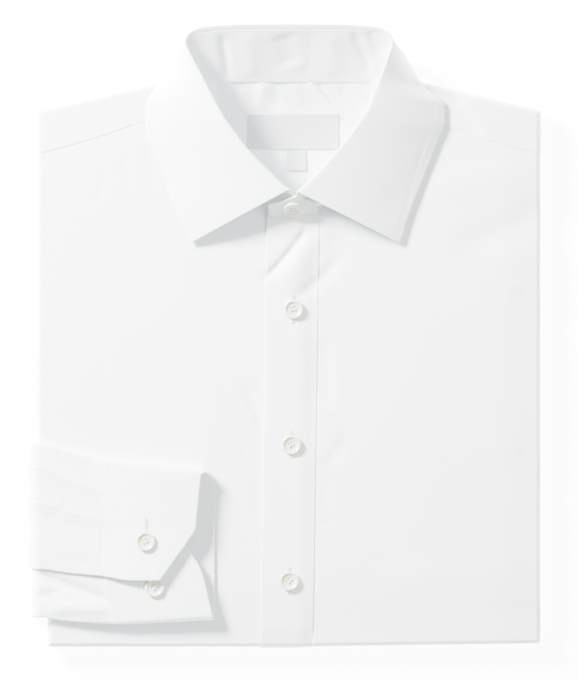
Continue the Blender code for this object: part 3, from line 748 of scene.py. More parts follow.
# A piece of cloth: the node it stands for, its object, and its middle's points, normals and thickness
Cloth = namedtuple("Cloth", "node object grid normals thickness")


def grid_normals(grid):
    return unit(np.cross(np.gradient(grid, axis=0), np.gradient(grid, axis=1)) + TINY)


def cloth(name, grid, thickness, look, up):
    """Cloth whose middle is a grid of points, with round edges.

    up says where on the grid, in shares of its rows and columns, its normal is known to face upwards.
    """
    grid = rimmed(np.asarray(grid, float), thickness / 2)
    normals = grid_normals(grid)
    row, across = int(up[0] * (len(grid) - 1)), int(up[1] * (len(grid[0]) - 1))
    if normals[row, across, 2] < 0:
        normals = -normals
    share = np.clip(from_borders(grid) / (thickness / 2), 0, 1)
    half = thickness / 2 * np.maximum(np.sqrt(1 - (1 - share) ** 2), EDGE_THICKNESS)[..., None]
    rows, columns, _ = grid.shape
    count = rows * columns
    faces = [*grid_faces(rows, columns), *grid_faces(rows, columns, count)[:, ::-1]]
    edge = border(rows, columns)
    for first, second in zip(edge, edge[1:] + edge[:1]):
        faces.append((first, first + count, second + count, second))
    points = np.concatenate([(grid + normals * half).reshape(-1, 3), (grid - normals * half).reshape(-1, 3)])
    places = np.stack([run_along(grid, 1), run_along(grid, 0)], axis=-1).reshape(-1, 2)
    made = object_from(f"{name}_cloth", points, faces, look, np.concatenate([places, places]))
    return Cloth(name, made, grid, normals, thickness)


def rail(piece, edge, distance, start=0.0):
    """A line on a cloth's upper face, this far in from one of its edges: top, bottom, first or last."""
    outer = piece.grid + piece.normals * (piece.thickness / 2)
    axis = 0 if edge in ("top", "bottom") else 1
    lines = np.moveaxis(outer, axis, 0)
    if edge in ("top", "last"):
        lines = lines[::-1]
    run = run_along(lines, 0)
    points = []
    for i in range(lines.shape[1]):
        points.append([np.interp(distance, run[:, i], lines[:, i, part]) for part in range(3)])
    return np.array(points)[int(start * (len(points) - 1)) :]


def front_panel(name, side, look):
    """One front. side is -1 for the wearer's right, which is on the left, and 1 for the wearer's left."""
    outer = BODY_HALF_WIDTH - FOLD_RADIUS
    seam_end = float(seam_y(YOKE_NECK_X))
    below = FOLD_RADIUS - turned_down()[::-1]
    near_seam = spaced(FINE_FROM_Y, seam_end, SEAM_GRID_STEP)
    upright = np.concatenate([below, spaced(FOLD_RADIUS, COARSE_TO_Y), near_seam])
    across = np.linspace(0, 1, int(outer / GRID_STEP))
    lap = SEAM_LAP * np.array(LAP_COLUMNS)
    rows = []
    for y in upright:
        inner = COLLAR_CENTRE_X * side + neck_x(y)
        if side > 0:
            inner = max(inner, placket_x(y) + PLACKET_WIDTH / 2 - SEAM_LAP)
        start = inner + SEAM_LAP
        x = np.concatenate([inner + lap, start + across * (outer - start), outer + turned_down()])
        share = max(y, 0) / seam_end
        up = y - share**2 * (seam_end - seam_y(x) - SEAM_LAP)
        rows.append(np.stack([side * x, up], axis=-1))
    plan = np.array(rows)
    x, y = plan[..., 0], plan[..., 1]
    sunk = SEAM_SINK * ease((y - seam_y(x) - SEAM_MARGIN) / SEAM_STEP)
    from_placket = np.abs(x - placket_x(y)) - PLACKET_WIDTH / 2
    tucked = ease(-from_placket / UNDER_PLACKET_FADE) * tucked_share(y)
    sunk = sunk + UNDER_PLACKET_SINK * tucked
    sunk = sunk + SEAM_SINK * max(side, 0) * ease((-from_placket - SEAM_MARGIN) / SEAM_STEP)
    grid = over_body(x, y, front_relief(x, y) * side_fade(x, y) - sunk, SIDE_RUN)
    return cloth(name, grid, CLOTH, look, up=(0.5, 0.3))


def tucked_share(y):
    """How far the placket and what lies under it have sunk together, towards the bottom fold."""
    return ease((PLACKET_TUCK_RUN - y) / PLACKET_TUCK_RUN)


def side_fade(x, y):
    """Creases fade where the cloth turns under."""
    past_x = np.abs(x) - BODY_HALF_WIDTH
    past_y = np.maximum(-y, y - BODY_LENGTH)
    return 1 - ease(np.maximum(past_x, past_y) / CREASE_SIDE_FADE)


def placket(look):
    """The strip down the wearer's left front, over the button stand, down to its seam on the panel."""
    half = PLACKET_WIDTH / 2
    below = FOLD_RADIUS - turned_down()[::-1]
    top_y = PLACKET_LENGTH + PLACKET_TOP_REACH
    upright = np.concatenate([below, spaced(FOLD_RADIUS, top_y, PLACKET_GRID_STEP)])
    offset = spaced(-half, half, SEAM_GRID_STEP)
    y = upright[:, None]
    x = placket_x(y) + offset
    x, y = np.broadcast_arrays(x, y)
    neck_y = column(BAND_BY_PLACKET, "seam_y")
    rise = np.interp(x - COLLAR_CENTRE_X, column(BAND_BY_PLACKET, "seam_x"), neck_y)
    rise = np.maximum(rise - neck_y[0], 0)
    y = y + rise * ease((y - PLACKET_LENGTH + NECK_RISE_RUN) / NECK_RISE_RUN)
    grid = over_body(x, y, placket_height(x, y), SIDE_RUN)
    return cloth("front_placket", grid, STIFF_CLOTH, look, up=(0.5, 0.5))


def pinch(x, y, centre_x, centre_y):
    """How a button draws the cloth down round it."""
    away = np.hypot(x - centre_x, (y - centre_y) * PINCH_STRETCH)
    return -PINCH_DEPTH * np.exp(-((away / PINCH_RADIUS) ** 2))


def placket_height(x, y):
    """How high the middle of the placket lies over the fronts."""
    past_stand = x - COLLAR_CENTRE_X - BUTTON_STAND - STAND_EDGE + STAND_FADE / 2
    lift = PLACKET_SEAM_LIFT + (PLACKET_LIFT - PLACKET_SEAM_LIFT) * (1 - ease(past_stand / STAND_FADE))
    drawn = sum(pinch(x, y, placket_x(row_y) + BUTTON_OFFSET_X, row_y) for row_y in BUTTON_ROWS_Y)
    tucked = PLACKET_TUCK * tucked_share(y)
    return lift + (STIFF_CLOTH - CLOTH) / 2 - tucked + (front_relief(x, y) + drawn) * side_fade(x, y)


def yoke_shoulder(name, side, look):
    """The yoke over one shoulder, lapping over the front at its seam and turned down past the shoulder."""
    shoulder = BODY_LENGTH - FOLD_RADIUS
    outer = BODY_HALF_WIDTH - FOLD_RADIUS
    neck_y = float(seam_y(YOKE_NECK_X))
    share_out = np.concatenate([np.linspace(0, 1, SHOULDER_COLUMNS), turned_down() + 1])
    rows = []
    for share in np.linspace(0, 1, SHOULDER_ROWS):
        inner = COLLAR_CENTRE_X * side + neck_x(neck_y + share * YOKE_NECK_RISE)
        x = np.where(share_out <= 1, inner + share_out * (outer - inner), outer + share_out - 1)
        rows.append(np.stack([side * x, seam_y(x) + share * (shoulder - seam_y(x))], axis=-1))
    last_x = rows[-1][:, 0]
    for past in turned_down():
        rows.append(np.stack([last_x, np.full(len(share_out), shoulder + past)], axis=-1))
    plan = np.array(rows)
    x, y = plan[..., 0], plan[..., 1]
    height = YOKE_LIFT + (crease_height(SHOULDER_CREASES, x, y) + front_relief(x, y)) * side_fade(x, y)
    return cloth(name, over_body(x, y, height, SIDE_RUN), CLOTH, look, up=(0.1, 0.3))


def neck_floor(x, y):
    """The place of the yoke's inside at each point of the neck opening."""
    z = curve_through(NECK_FLOOR, "y", "z", y) + crease_height(NECK_CREASES, x, y)
    return np.stack([x, y, z], axis=-1)


def yoke_back(look):
    """The yoke inside the neck. Its sides rise a little under the collar band, so that no gap shows there."""
    front, back = NECK_FLOOR[0].y - YOKE_FRONT_REACH, NECK_FLOOR[-1].y + YOKE_BACK_REACH
    y = spaced(front, back, SEAM_GRID_STEP)[:, None]
    half = curve_through(NECK_FLOOR, "y", "half_width", y)
    share = np.linspace(-1, 1, YOKE_COLUMNS)
    out = np.abs(share)
    reach = half * share + np.sign(share) * YOKE_SIDE_REACH * last_part(out, YOKE_SIDE_REACH_PART)
    grid = neck_floor(COLLAR_CENTRE_X + reach, np.broadcast_to(y, reach.shape))
    grid[..., 2] += YOKE_SIDE_RISE * last_part(out, YOKE_SIDE_RISE_PART)
    return cloth("yoke_back", grid, CLOTH, look, up=(0.5, 0.5))


def lying_patch(name, centre_x, top_y, width, length, look, curl):
    """A label that lies on the yoke's inside, with its lower edge standing off a little by curl."""
    y = spaced(top_y - length, top_y, LABEL_GRID_STEP)[:, None]
    x = centre_x + width * np.linspace(-0.5, 0.5, int(width / LABEL_GRID_STEP))
    x, y = np.broadcast_arrays(x, y)
    grid = neck_floor(x, y)
    down = (top_y - y) / length
    grid[..., 2] += CLOTH / 2 + LABEL_GAP + LABEL_CLOTH / 2 + curl * down**2
    return cloth(name, grid, LABEL_CLOTH, look, up=(0.5, 0.5))


def layer_outline(inset):
    """Points round the body's outline, each this far inside its edge. inset is one number for each point."""
    count = len(inset)
    radius = FOLD_RADIUS
    half, low, high = BODY_HALF_WIDTH - radius, radius, BODY_LENGTH - radius
    sides = (
        (half, low, half, high, 0),
        (half, high, -half, high, 90),
        (-half, high, -half, low, 180),
        (-half, low, half, low, 270),
    )
    lengths = [hypot(x2 - x1, y2 - y1) + radius * pi / 2 for x1, y1, x2, y2, _ in sides]
    at = np.linspace(0, sum(lengths), count, endpoint=False)
    points = np.zeros((count, 2))
    start = 0.0
    for (x1, y1, x2, y2, facing), length in zip(sides, lengths):
        chosen = (at >= start) & (at < start + length)
        run = at[chosen] - start
        straight = length - radius * pi / 2
        share = np.minimum(run / straight, 1.0)
        angle = np.radians(facing) + np.maximum(run - straight, 0) / radius
        out = np.stack([np.cos(angle), np.sin(angle)], axis=-1) * (radius - inset[chosen])[:, None]
        points[chosen] = np.stack([x1 + (x2 - x1) * share, y1 + (y2 - y1) * share], axis=-1) + out
        start += length
    return np.stack(shaped(points[:, 0], points[:, 1]), axis=-1)


def folded_layers(look):
    """The back, the other sleeve and the tails, seen as the layered folds at the shirt's edges."""
    count = LAYER_COLUMNS
    around = np.linspace(0, 2 * pi, count, endpoint=False)
    rings = []
    for layer in LAYERS:
        long_wave = 0.25 * np.sin(3 * around + layer.phase)
        short_wave = 0.25 * np.sin(7 * around + 2 * layer.phase)
        wander = layer.wander * (0.5 + long_wave + short_wave)
        middle, radius = (layer.low + layer.high) / 2, (layer.high - layer.low) / 2
        for angle in np.radians(LAYER_ANGLES):
            inset = layer.inset + wander + radius * (1 - cos(angle)) * LAYER_ROUND
            z = np.full(count, middle + radius * sin(angle))
            rings.append(np.column_stack([layer_outline(inset), z]))
    rings[0][:, 2] = 0.0
    points = np.concatenate(rings)
    faces = [tuple(range(count)), tuple(range(len(points) - count, len(points)))]
    step = np.arange(count)
    for level in range(len(rings) - 1):
        first, second = level * count + step, level * count + (step + 1) % count
        faces += [tuple(face) for face in np.stack([first, second, second + count, first + count], axis=1)]
    places = points[:, :2] + points[:, 2:]
    return object_from("folded_layers", points, faces, look, places)


def collar_line(along, side):
    """The fold and the neck seam at these distances from the middle of the back, each on one side."""
    fold = np.stack([curve_through(BAND, "along", f"fold_{axis}", along) for axis in "xyz"], axis=-1)
    seam = np.stack([curve_through(BAND, "along", f"seam_{axis}", along) for axis in "xyz"], axis=-1)
    lap = side * LAP_OFFSET * ease((along - BAND_FRONT + LAP_FADE) / LAP_FADE)
    across = np.stack([np.zeros_like(lap), seam[..., 2] - fold[..., 2], fold[..., 1] - seam[..., 1]], axis=-1)
    lift = lap[..., None] * unit(across)
    fold, seam = fold + lift, seam + lift
    centre = COLLAR_CENTRE_X + curve_through(BAND, "along", "shift_x", along)
    fold[..., 0] = centre + side * fold[..., 0]
    seam[..., 0] = centre + side * seam[..., 0]
    return fold, seam


def both_sides(end, count):
    """Distances from the middle of the back, from one front end round to the other, with their sides."""
    half = np.linspace(0, end, count)
    return np.concatenate([half[:0:-1], half]), np.concatenate([-np.ones(count - 1), np.ones(count)])


def raised(grid, creases):
    """Moves the points of a grid along its normals by the creases at their places."""
    normals = grid_normals(grid)
    normals = normals * np.where(normals[..., 2:] < 0, -1, 1)
    height = crease_height(creases, grid[..., 0], grid[..., 1])
    return grid + normals * height[..., None]


def collar_band(look):
    """The standing band, from its foot at the neck seam up to just under the collar's fold."""
    along, side = both_sides(BAND_END, BAND_COLUMNS)
    fold, seam = collar_line(along, side)
    top = fold - (COLLAR_LIP - COLLAR_SEAM_GAP - BAND_TUCK) * unit(fold - seam)
    share = np.linspace(BAND_FOOT, 1, BAND_ROWS)[None, :, None]
    grid = seam[:, None] + (top - seam)[:, None] * share
    back = ease((grid[..., 1] - BAND_CREASES_FROM_Y) / BAND_CREASES_FADE)[..., None]
    grid = grid + (raised(grid, BAND_CREASES) - grid) * back
    return cloth("collar_band", grid, STIFF_CLOTH, look, up=(0.5, 0.5))


def bezier(start, control, end, count):
    t = np.linspace(0, 1, count)[None, :, None]
    return start[:, None] * (1 - t) ** 2 + control[:, None] * 2 * t * (1 - t) + end[:, None] * t**2


def collar_leaf(look):
    """The turned-down collar: up from its seam on the band, over the fold and out to its edge."""
    along, side = both_sides(BAND_FRONT, LEAF_COLUMNS)
    fold, seam = collar_line(along, side)
    edge = np.stack([curve_through(LEAF, "along", f"edge_{axis}", along) for axis in "xyz"], axis=-1)
    edge[:, 0] = COLLAR_CENTRE_X + side * edge[:, 0] + curve_through(LEAF, "along", "shift_x", along)
    up = unit(fold - seam)
    out = unit(edge - fold)
    start = fold - (COLLAR_LIP - COLLAR_SEAM_GAP) * up
    inner = fold - COLLAR_ROUND * up
    proud = unit(np.array([0.0, 0.0, 1.0]) - out[:, 2:] * out)
    outer = fold + COLLAR_ROUND * out + COLLAR_ROLL * proud
    bulge = (outer + edge) / 2 + COLLAR_BULGE * proud
    lip = bezier(start, (start + inner) / 2, inner, LIP_ROWS)
    roll = bezier(inner, fold + COLLAR_CREST * up, outer, ROLL_ROWS)[:, 1:]
    fall = bezier(outer, bulge, edge, FALL_ROWS)[:, 1:]
    grid = raised(np.concatenate([lip, roll, fall], axis=1), LEAF_CREASES)
    return cloth("collar_leaf", grid, STIFF_CLOTH, look, up=(0.06, 0.7))


def pleat_height(y, pleats, share):
    """A pleat stands at its line and slopes away below it."""
    height = 0.0
    for line in pleats:
        if line - PLEAT_RUN < y <= line:
            height = max(height, 1 - (line - y) / PLEAT_RUN)
    return height * PLEAT_HEIGHT * share


def sleeve_row(x):
    """Where the sleeve's folds, slit and pleats lie at this place across the shirt."""
    return SleeveRow(x, *(float(curve_through(SLEEVE, "x", name, x)) for name in SleeveRow._fields[1:]))


def sleeve_section(x, pleat_share):
    """Arrays y, height and layer round the flattened sleeve, from the slit's edge to its underlap's end."""
    at = sleeve_row(x)
    low = SLEEVE_LIFT
    under = low + at.rise
    upper = under + at.lap
    big, small = (upper - low) / 2, (under - low) / 2
    top_end, bottom_end = at.top_fold - big, at.bottom_fold + small
    pleats = (at.pleat_1, at.pleat_2)
    near = np.array(PLEAT_NEAR)
    by_slit = np.linspace(at.slit, at.pleat_2 - PLEAT_BELOW, SLIT_POINTS)
    lines = [by_slit, at.pleat_2 + near, at.pleat_1 + near]
    lines.append(np.linspace(at.pleat_1 + PLEAT_ABOVE, top_end, CREST_POINTS))
    points = [(y, upper + pleat_height(y, pleats, pleat_share), UPPER) for y in np.concatenate(lines)]
    for angle in np.linspace(pi / 2, -pi / 2, TOP_TURN_POINTS)[1:]:
        points.append((top_end + big * cos(angle), (low + upper) / 2 + big * sin(angle), BACK))
    points += [(y, low, BACK) for y in np.linspace(top_end, bottom_end, BACK_POINTS)[1:]]
    for angle in np.linspace(-pi / 2, -3 * pi / 2, BOTTOM_TURN_POINTS)[1:]:
        points.append((bottom_end + small * cos(angle), (low + under) / 2 + small * sin(angle), UNDER))
    points += [(y, under, UNDER) for y in np.linspace(bottom_end, at.slit + UNDERLAP, UNDER_POINTS)[1:]]
    return np.array(points).T


def sleeve_relief(x, y, layer):
    """The sleeve's creases, on the layer above its slit and on the one that shows below it."""
    upper = crease_height(SLEEVE_UPPER_CREASES, x, y)
    under = crease_height(SLEEVE_UNDER_CREASES, x, y)
    return np.where(layer == UPPER, upper, np.where(layer == UNDER, under, 0.0))


def cuff_seam(y):
    return CUFF_SEAM_X + CUFF_SEAM_SLANT * ease(1 - (y - CUFF_SEAM_LOW) / CUFF_SEAM_FADE)


def sleeve(look):
    """From under the cuff's seam to the body's side, then down round it."""
    edge = BODY_HALF_WIDTH - FOLD_RADIUS
    rows = []
    for past in spaced(0, SLEEVE_DROP, SLEEVE_GRID_STEP)[:0:-1]:
        y, height, layer = sleeve_section(-edge, 1.0)
        height = height + sleeve_relief(-edge - past, y, layer)
        rows.append(over_body(np.full_like(y, -edge - past), y, height, inset_share=0.0))
    for share in np.linspace(0, 1, SLEEVE_COLUMNS):
        pleated = 1 - PLEAT_END_FADE * last_part(share, PLEAT_END_PART)
        y, height, layer = sleeve_section(-edge + share * (CUFF_SEAM_X + edge), pleated)
        x = -edge + share * (cuff_seam(y) + CUFF_LAP + edge)
        sunk = CUFF_LAP_SINK * ease((share - CUFF_LAP_SINK_START) / CUFF_LAP_SINK_RUN)
        creased = 1 - last_part(share, SLEEVE_CREASE_END_PART)
        height = height + sleeve_relief(x, y, layer) * creased - sunk
        rows.append(over_body(x, y, height, inset_share=0.0))
    return cloth("sleeve_right", rows, CLOTH, look, up=(0.9, 0.1))


def cuff_end(y, layer):
    """How far across the shirt each layer of the cuff reaches at each height."""
    upper = np.interp(y, column(CUFF_END, "y"), column(CUFF_END, "upper_x"))
    under = np.interp(y, column(CUFF_END, "y"), column(CUFF_END, "under_x"))
    back = CUFF_BACK_END_X - CUFF_BACK_ROUND * ease((y - CUFF_BACK_FULL_Y) / CUFF_BACK_FADE)
    return np.where(layer == UPPER, upper, np.where(layer == UNDER, under, back))


def cuff_place(share):
    """Where the cuff's section is read, at this share of the way from its seam to its open end."""
    return CUFF_SEAM_X + share * (CUFF_BACK_END_X - CUFF_SEAM_X)


def cuff(look):
    """The buttoned cuff, one strip round the wrist with cut corners, lying on the front."""
    rows = []
    for share in np.linspace(0, 1, CUFF_COLUMNS):
        y, height, layer = sleeve_section(cuff_place(share), 0.0)
        x = cuff_seam(y) + share * (cuff_end(y, layer) - cuff_seam(y))
        relief = crease_height(CUFF_CREASES, x, y) * (layer == UPPER)
        for at in CUFF_BUTTONS:
            relief = relief + pinch(x, y, at.x, at.y) * (layer == at.layer)
        rows.append(over_body(x, y, height + relief, inset_share=0.0))
    return cloth("cuff_right", rows, STIFF_CLOTH, look, up=(0.5, 0.1))


def on_cuff(x, y, layer):
    """How high the middle of this layer of the cuff lies at this place."""
    start = cuff_seam(y)
    share = float((x - start) / (cuff_end(y, layer) - start))
    at = sleeve_row(cuff_place(share))
    return SLEEVE_LIFT + at.rise + (at.lap if layer == UPPER else 0.0)


def plain_mesh(made):
    """Replaces an object's mesh with what its modifiers make of it."""
    graph = bpy.context.evaluated_depsgraph_get()
    mesh = bpy.data.meshes.new_from_object(made.evaluated_get(graph))
    made.modifiers.clear()
    made.data = mesh
    return made


def turned(rows, sides):
    """Points and faces of a closed body turned round the z axis."""
    around = np.linspace(0, 2 * pi, sides, endpoint=False)
    points = [(0.0, 0.0, rows[0].height)]
    for row in rows:
        points += [(row.radius * cos(a), row.radius * sin(a), row.height) for a in around]
    points.append((0.0, 0.0, rows[-1].height))
    faces = []
    for step in range(sides):
        after = (step + 1) % sides
        faces.append((0, 1 + step, 1 + after))
        for ring in range(len(rows) - 1):
            first = 1 + ring * sides
            faces.append((first + step, first + sides + step, first + sides + after, first + after))
        last = 1 + (len(rows) - 1) * sides
        faces.append((len(points) - 1, last + after, last + step))
    return np.array(points), faces


def button_mesh(look):
    """A button with a rim, a sunken middle and four drilled holes, at the plan's origin."""
    points, faces = turned(BUTTON_SECTION, BUTTON_SIDES)
    points = points - [PLAN_X, PLAN_Y, 0.0]
    made = object_from("button_blank", points, faces, look)
    drill = (ButtonRow(HOLE_RADIUS, DRILL_TOP), ButtonRow(HOLE_RADIUS, DRILL_FOOT))
    blanks = []
    for step in range(4):
        x, y = (HOLE_SPREAD * f(pi / 4 + step * pi / 2) for f in (cos, sin))
        hole_points, hole_faces = turned(drill, HOLE_SIDES)
        hole = object_from("hole", hole_points + [x - PLAN_X, y - PLAN_Y, 0.0], hole_faces, look)
        cut = made.modifiers.new("hole", "BOOLEAN")
        cut.operation, cut.solver, cut.object = "DIFFERENCE", "EXACT", hole
        blanks.append(hole)
    plain_mesh(made)
    mesh = made.data
    for blank in blanks + [made]:
        bpy.data.objects.remove(blank)
    mesh.shade_smooth()
    mesh.set_sharp_from_angle(angle=radians(SHARP_ANGLE))
    return mesh


def standing(place, lean, turn):
    """Where a button stands: its middle at this place, its face tipped by lean and turned, in degrees."""
    at = Vector((np.asarray(place, float) + [PLAN_X, PLAN_Y, 0.0]) * MM)
    tipped = Matrix.Translation(at) @ Matrix.Rotation(radians(lean), 4, "X")
    return tipped @ Matrix.Rotation(radians(turn), 4, "Z")


def sewn_on(matrix, height):
    """The thread over a button's holes: two bars of three threads, whose ends dive into the holes."""
    bars = []
    reach = HOLE_SPREAD * cos(pi / 4)
    for side in (-1, 1):
        for along in THREAD_PLACES:
            bar = []
            for t in np.linspace(-1, 1, THREAD_POINTS):
                sag = 0.0 if abs(t) < THREAD_DIVE_START else THREAD_DIVE
                z = height + THREAD_ARCH * (1 - t * t) + sag
                local = Vector((side * reach + along, t * reach, z)) * MM
                world = matrix @ local
                bar.append((world.x / MM - PLAN_X, world.y / MM - PLAN_Y, world.z / MM))
            bars.append(np.array(bar))
    return bars


def button_places():
    """Each button's name, place, lean and turn."""
    places = []
    for number, y in enumerate(BUTTON_ROWS_Y, 1):
        x = float(placket_x(y)) + BUTTON_OFFSET_X
        base = float(placket_height(x, y)) + STIFF_CLOTH / 2 + BUTTON_SHANK
        places.append((f"button_front_{number}", over_body(x, y, base), 0.0, FRONT_BUTTON_TURN * number))
    fold, seam = (line[0] for line in collar_line(np.array([BAND_FRONT]), np.array([1.0])))
    up = unit(fold - seam)
    face = np.array([0.0, -up[2], up[1]])
    place = seam + up * COLLAR_BUTTON_UP + face * (STIFF_CLOTH / 2 + COLLAR_BUTTON_SHANK)
    lean = atan2(up[2], up[1]) * 180 / pi
    places.append(("button_collar", (COLLAR_CENTRE_X, place[1], place[2]), lean, COLLAR_BUTTON_TURN))
    for number, at in enumerate(CUFF_BUTTONS, 1):
        surface = on_cuff(at.x + BUTTON_RADIUS / 2, at.y, at.layer) + STIFF_CLOTH / 2
        base = surface - PINCH_DEPTH + BUTTON_SHANK
        place = over_body(at.x, at.y, base, inset_share=0.0)
        places.append((f"button_cuff_{number}", place, 0.0, CUFF_BUTTON_TURN * number))
    return places


def buttons(look):
    """The six buttons, and the lines of the threads that hold them."""
    mesh = button_mesh(look)
    made, threads = [], []
    for name, place, lean, turn in button_places():
        matrix = standing(place, lean, turn)
        one = mesh.copy()
        one.transform(matrix)
        made.append((name, in_scene(f"{name}_disc", one)))
        threads += sewn_on(matrix, BUTTON_SECTION[0].height)
    return made, threads


def buttonhole(centre_x, centre_y, surface, slant):
    """A zigzag thread round a buttonhole that runs up the shirt, as points on surface(x, y)."""
    half, bar = BUTTONHOLE_LENGTH / 2, BUTTONHOLE_WIDTH / 2
    outline = []
    straight = np.arange(-half, half, ZIGZAG_STEP)
    for side, run, turn in ((1, straight, 0.0), (-1, straight[::-1], pi)):
        outline += [(side * (bar if i % 2 else ZIGZAG_INNER), y) for i, y in enumerate(run)]
        for i, angle in enumerate(np.linspace(turn, turn + pi, HOLE_END_POINTS)):
            radius = bar if i % 2 else HOLE_END_INNER
            outline.append((radius * cos(angle), side * half + radius * sin(angle)))
    outline = np.array(outline + outline[:1])
    x = centre_x + outline[:, 0] + slant * outline[:, 1]
    return surface(x, centre_y + outline[:, 1])


def line_mesh(name, lines):
    """An object of bare lines, each a run of points in millimetres."""
    points, edges = [], []
    for line in lines:
        start = len(points)
        points += ((line + [PLAN_X, PLAN_Y, 0.0]) * MM).tolist()
        edges += [(start + i, start + i + 1) for i in range(len(line) - 1)]
    mesh = bpy.data.meshes.new(name)
    mesh.from_pydata(points, edges, [])
    return in_scene(name, mesh)


def new_node(tree, kind, inputs=None, **settings):
    """Another node of a tree: its settings, then its inputs, each a plain value or a socket to link."""
    made = tree.nodes.new(kind)
    for key, value in settings.items():
        setattr(made, key, value)
    for key, value in (inputs or {}).items():
        if isinstance(value, bpy.types.NodeSocket):
            tree.links.new(value, made.inputs[key])
        else:
            made.inputs[key].default_value = value
    return made


class NodeTree:
    """A geometry node tree in the making."""

    def __init__(self, name, numbers):
        """Opens a tree with geometry, these numbers and a material as its inputs."""
        self.tree = bpy.data.node_groups.new(name, "GeometryNodeTree")
        face = self.tree.interface
        face.new_socket("Geometry", in_out="INPUT", socket_type="NodeSocketGeometry")
        for label, value in numbers.items():
            face.new_socket(label, in_out="INPUT", socket_type="NodeSocketFloat").default_value = value
        face.new_socket("Thread", in_out="INPUT", socket_type="NodeSocketMaterial")
        face.new_socket("Geometry", in_out="OUTPUT", socket_type="NodeSocketGeometry")
        self.given = self.tree.nodes.new("NodeGroupInput")
        self.result = self.tree.nodes.new("NodeGroupOutput")

    def add(self, kind, inputs=None, **settings):
        """The first output of another node."""
        return new_node(self.tree, kind, inputs, **settings).outputs[0]

    def ending_in(self, mesh):
        """The tree, whose result is this geometry, smooth and in the thread's material."""
        smooth = self.add("GeometryNodeSetShadeSmooth", {"Geometry": mesh})
        look = {"Geometry": smooth, "Material": self.given.outputs["Thread"]}
        self.tree.links.new(self.add("GeometryNodeSetMaterial", look), self.result.inputs[0])
        return self.tree


def stitch_tree():
    """Lines become rows of single stitches, each a short rounded bar that lies along its line."""
    sizes = {"Pitch": STITCH_PITCH * MM, "Length": STITCH_LENGTH * MM, "Radius": STITCH_RADIUS * MM}
    made = NodeTree("stitch rows", sizes)
    given, add = made.given.outputs, made.add
    curve = add("GeometryNodeMeshToCurve", {"Mesh": given["Geometry"]})
    even = add("GeometryNodeResampleCurve", {"Curve": curve, "Length": given["Pitch"]}, mode="LENGTH")
    tangent = add("GeometryNodeInputTangent")
    facing = add("FunctionNodeAlignRotationToVector", {"Vector": tangent}, axis="X")
    round_form = {"Segments": STITCH_SEGMENTS, "Rings": STITCH_RINGS, "Radius": 1.0}
    ball = add("GeometryNodeMeshUVSphere", round_form)
    half = add("ShaderNodeMath", {0: given["Length"], 1: 0.5}, operation="MULTIPLY")
    size = add("ShaderNodeCombineXYZ", {"X": half, "Y": given["Radius"], "Z": given["Radius"]})
    laid = {"Points": even, "Instance": ball, "Rotation": facing, "Scale": size}
    rows = add("GeometryNodeInstanceOnPoints", laid)
    return made.ending_in(add("GeometryNodeRealizeInstances", {"Geometry": rows}))


def thread_tree():
    """Lines become round threads."""
    made = NodeTree("threads", {"Radius": THREAD_RADIUS * MM})
    given, add = made.given.outputs, made.add
    curve = add("GeometryNodeMeshToCurve", {"Mesh": given["Geometry"]})
    round_form = {"Radius": given["Radius"], "Resolution": THREAD_SIDES}
    ring = add("GeometryNodeCurvePrimitiveCircle", round_form)
    swept = {"Curve": curve, "Profile Curve": ring, "Fill Caps": True}
    return made.ending_in(add("GeometryNodeCurveToMesh", swept))


def sewn(name, lines, tree, look):
    """The stitches or threads along these lines, as a plain mesh."""
    made = line_mesh(name, lines)
    grow = made.modifiers.new("thread", "NODES")
    grow.node_group = tree
    for item in tree.interface.items_tree:
        if item.in_out == "INPUT" and item.name == "Thread":
            grow[item.identifier] = look
    plain_mesh(made)
    if not made.data.materials:
        made.data.materials.append(look)
    return made


class Signal:
    """A socket of a shader tree that can be reckoned with as a number."""

    def __init__(self, tree, socket):
        self.tree, self.socket = tree, socket

    def node(self, kind, inputs=None, output=0, **settings):
        """Another node, whose named inputs are signals or plain values."""
        sockets = {key: getattr(value, "socket", value) for key, value in (inputs or {}).items()}
        return Signal(self.tree, new_node(self.tree, kind, sockets, **settings).outputs[output])

    def maths(self, operation, *values):
        return self.node("ShaderNodeMath", dict(enumerate(values)), operation=operation)

    def __add__(self, other):
        return self.maths("ADD", self, other)

    def __mul__(self, other):
        return self.maths("MULTIPLY", self, other)

    __radd__ = __add__
    __rmul__ = __mul__

    def wave(self, length):
        """A sine that repeats at this length."""
        return self.maths("SINE", self * (2 * pi / length))


def principled(name, **numbers):
    """A material, its shader, and a signal to start from. numbers are set on the shader's own sockets."""
    look = bpy.data.materials.new(name)
    look.use_nodes = True
    shader = look.node_tree.nodes["Principled BSDF"]
    for key, value in numbers.items():
        shader.inputs[key.replace("_", " ")].default_value = value
    return look, shader, Signal(look.node_tree, shader.outputs[0])


def mixed(start, share, dark, pale):
    """A colour between two, by this share."""
    inputs = {"Factor": share, FIRST_COLOUR: (*dark, 1.0), SECOND_COLOUR: (*pale, 1.0)}
    return start.node("ShaderNodeMix", inputs, output=MIXED_COLOUR, data_type="RGBA")


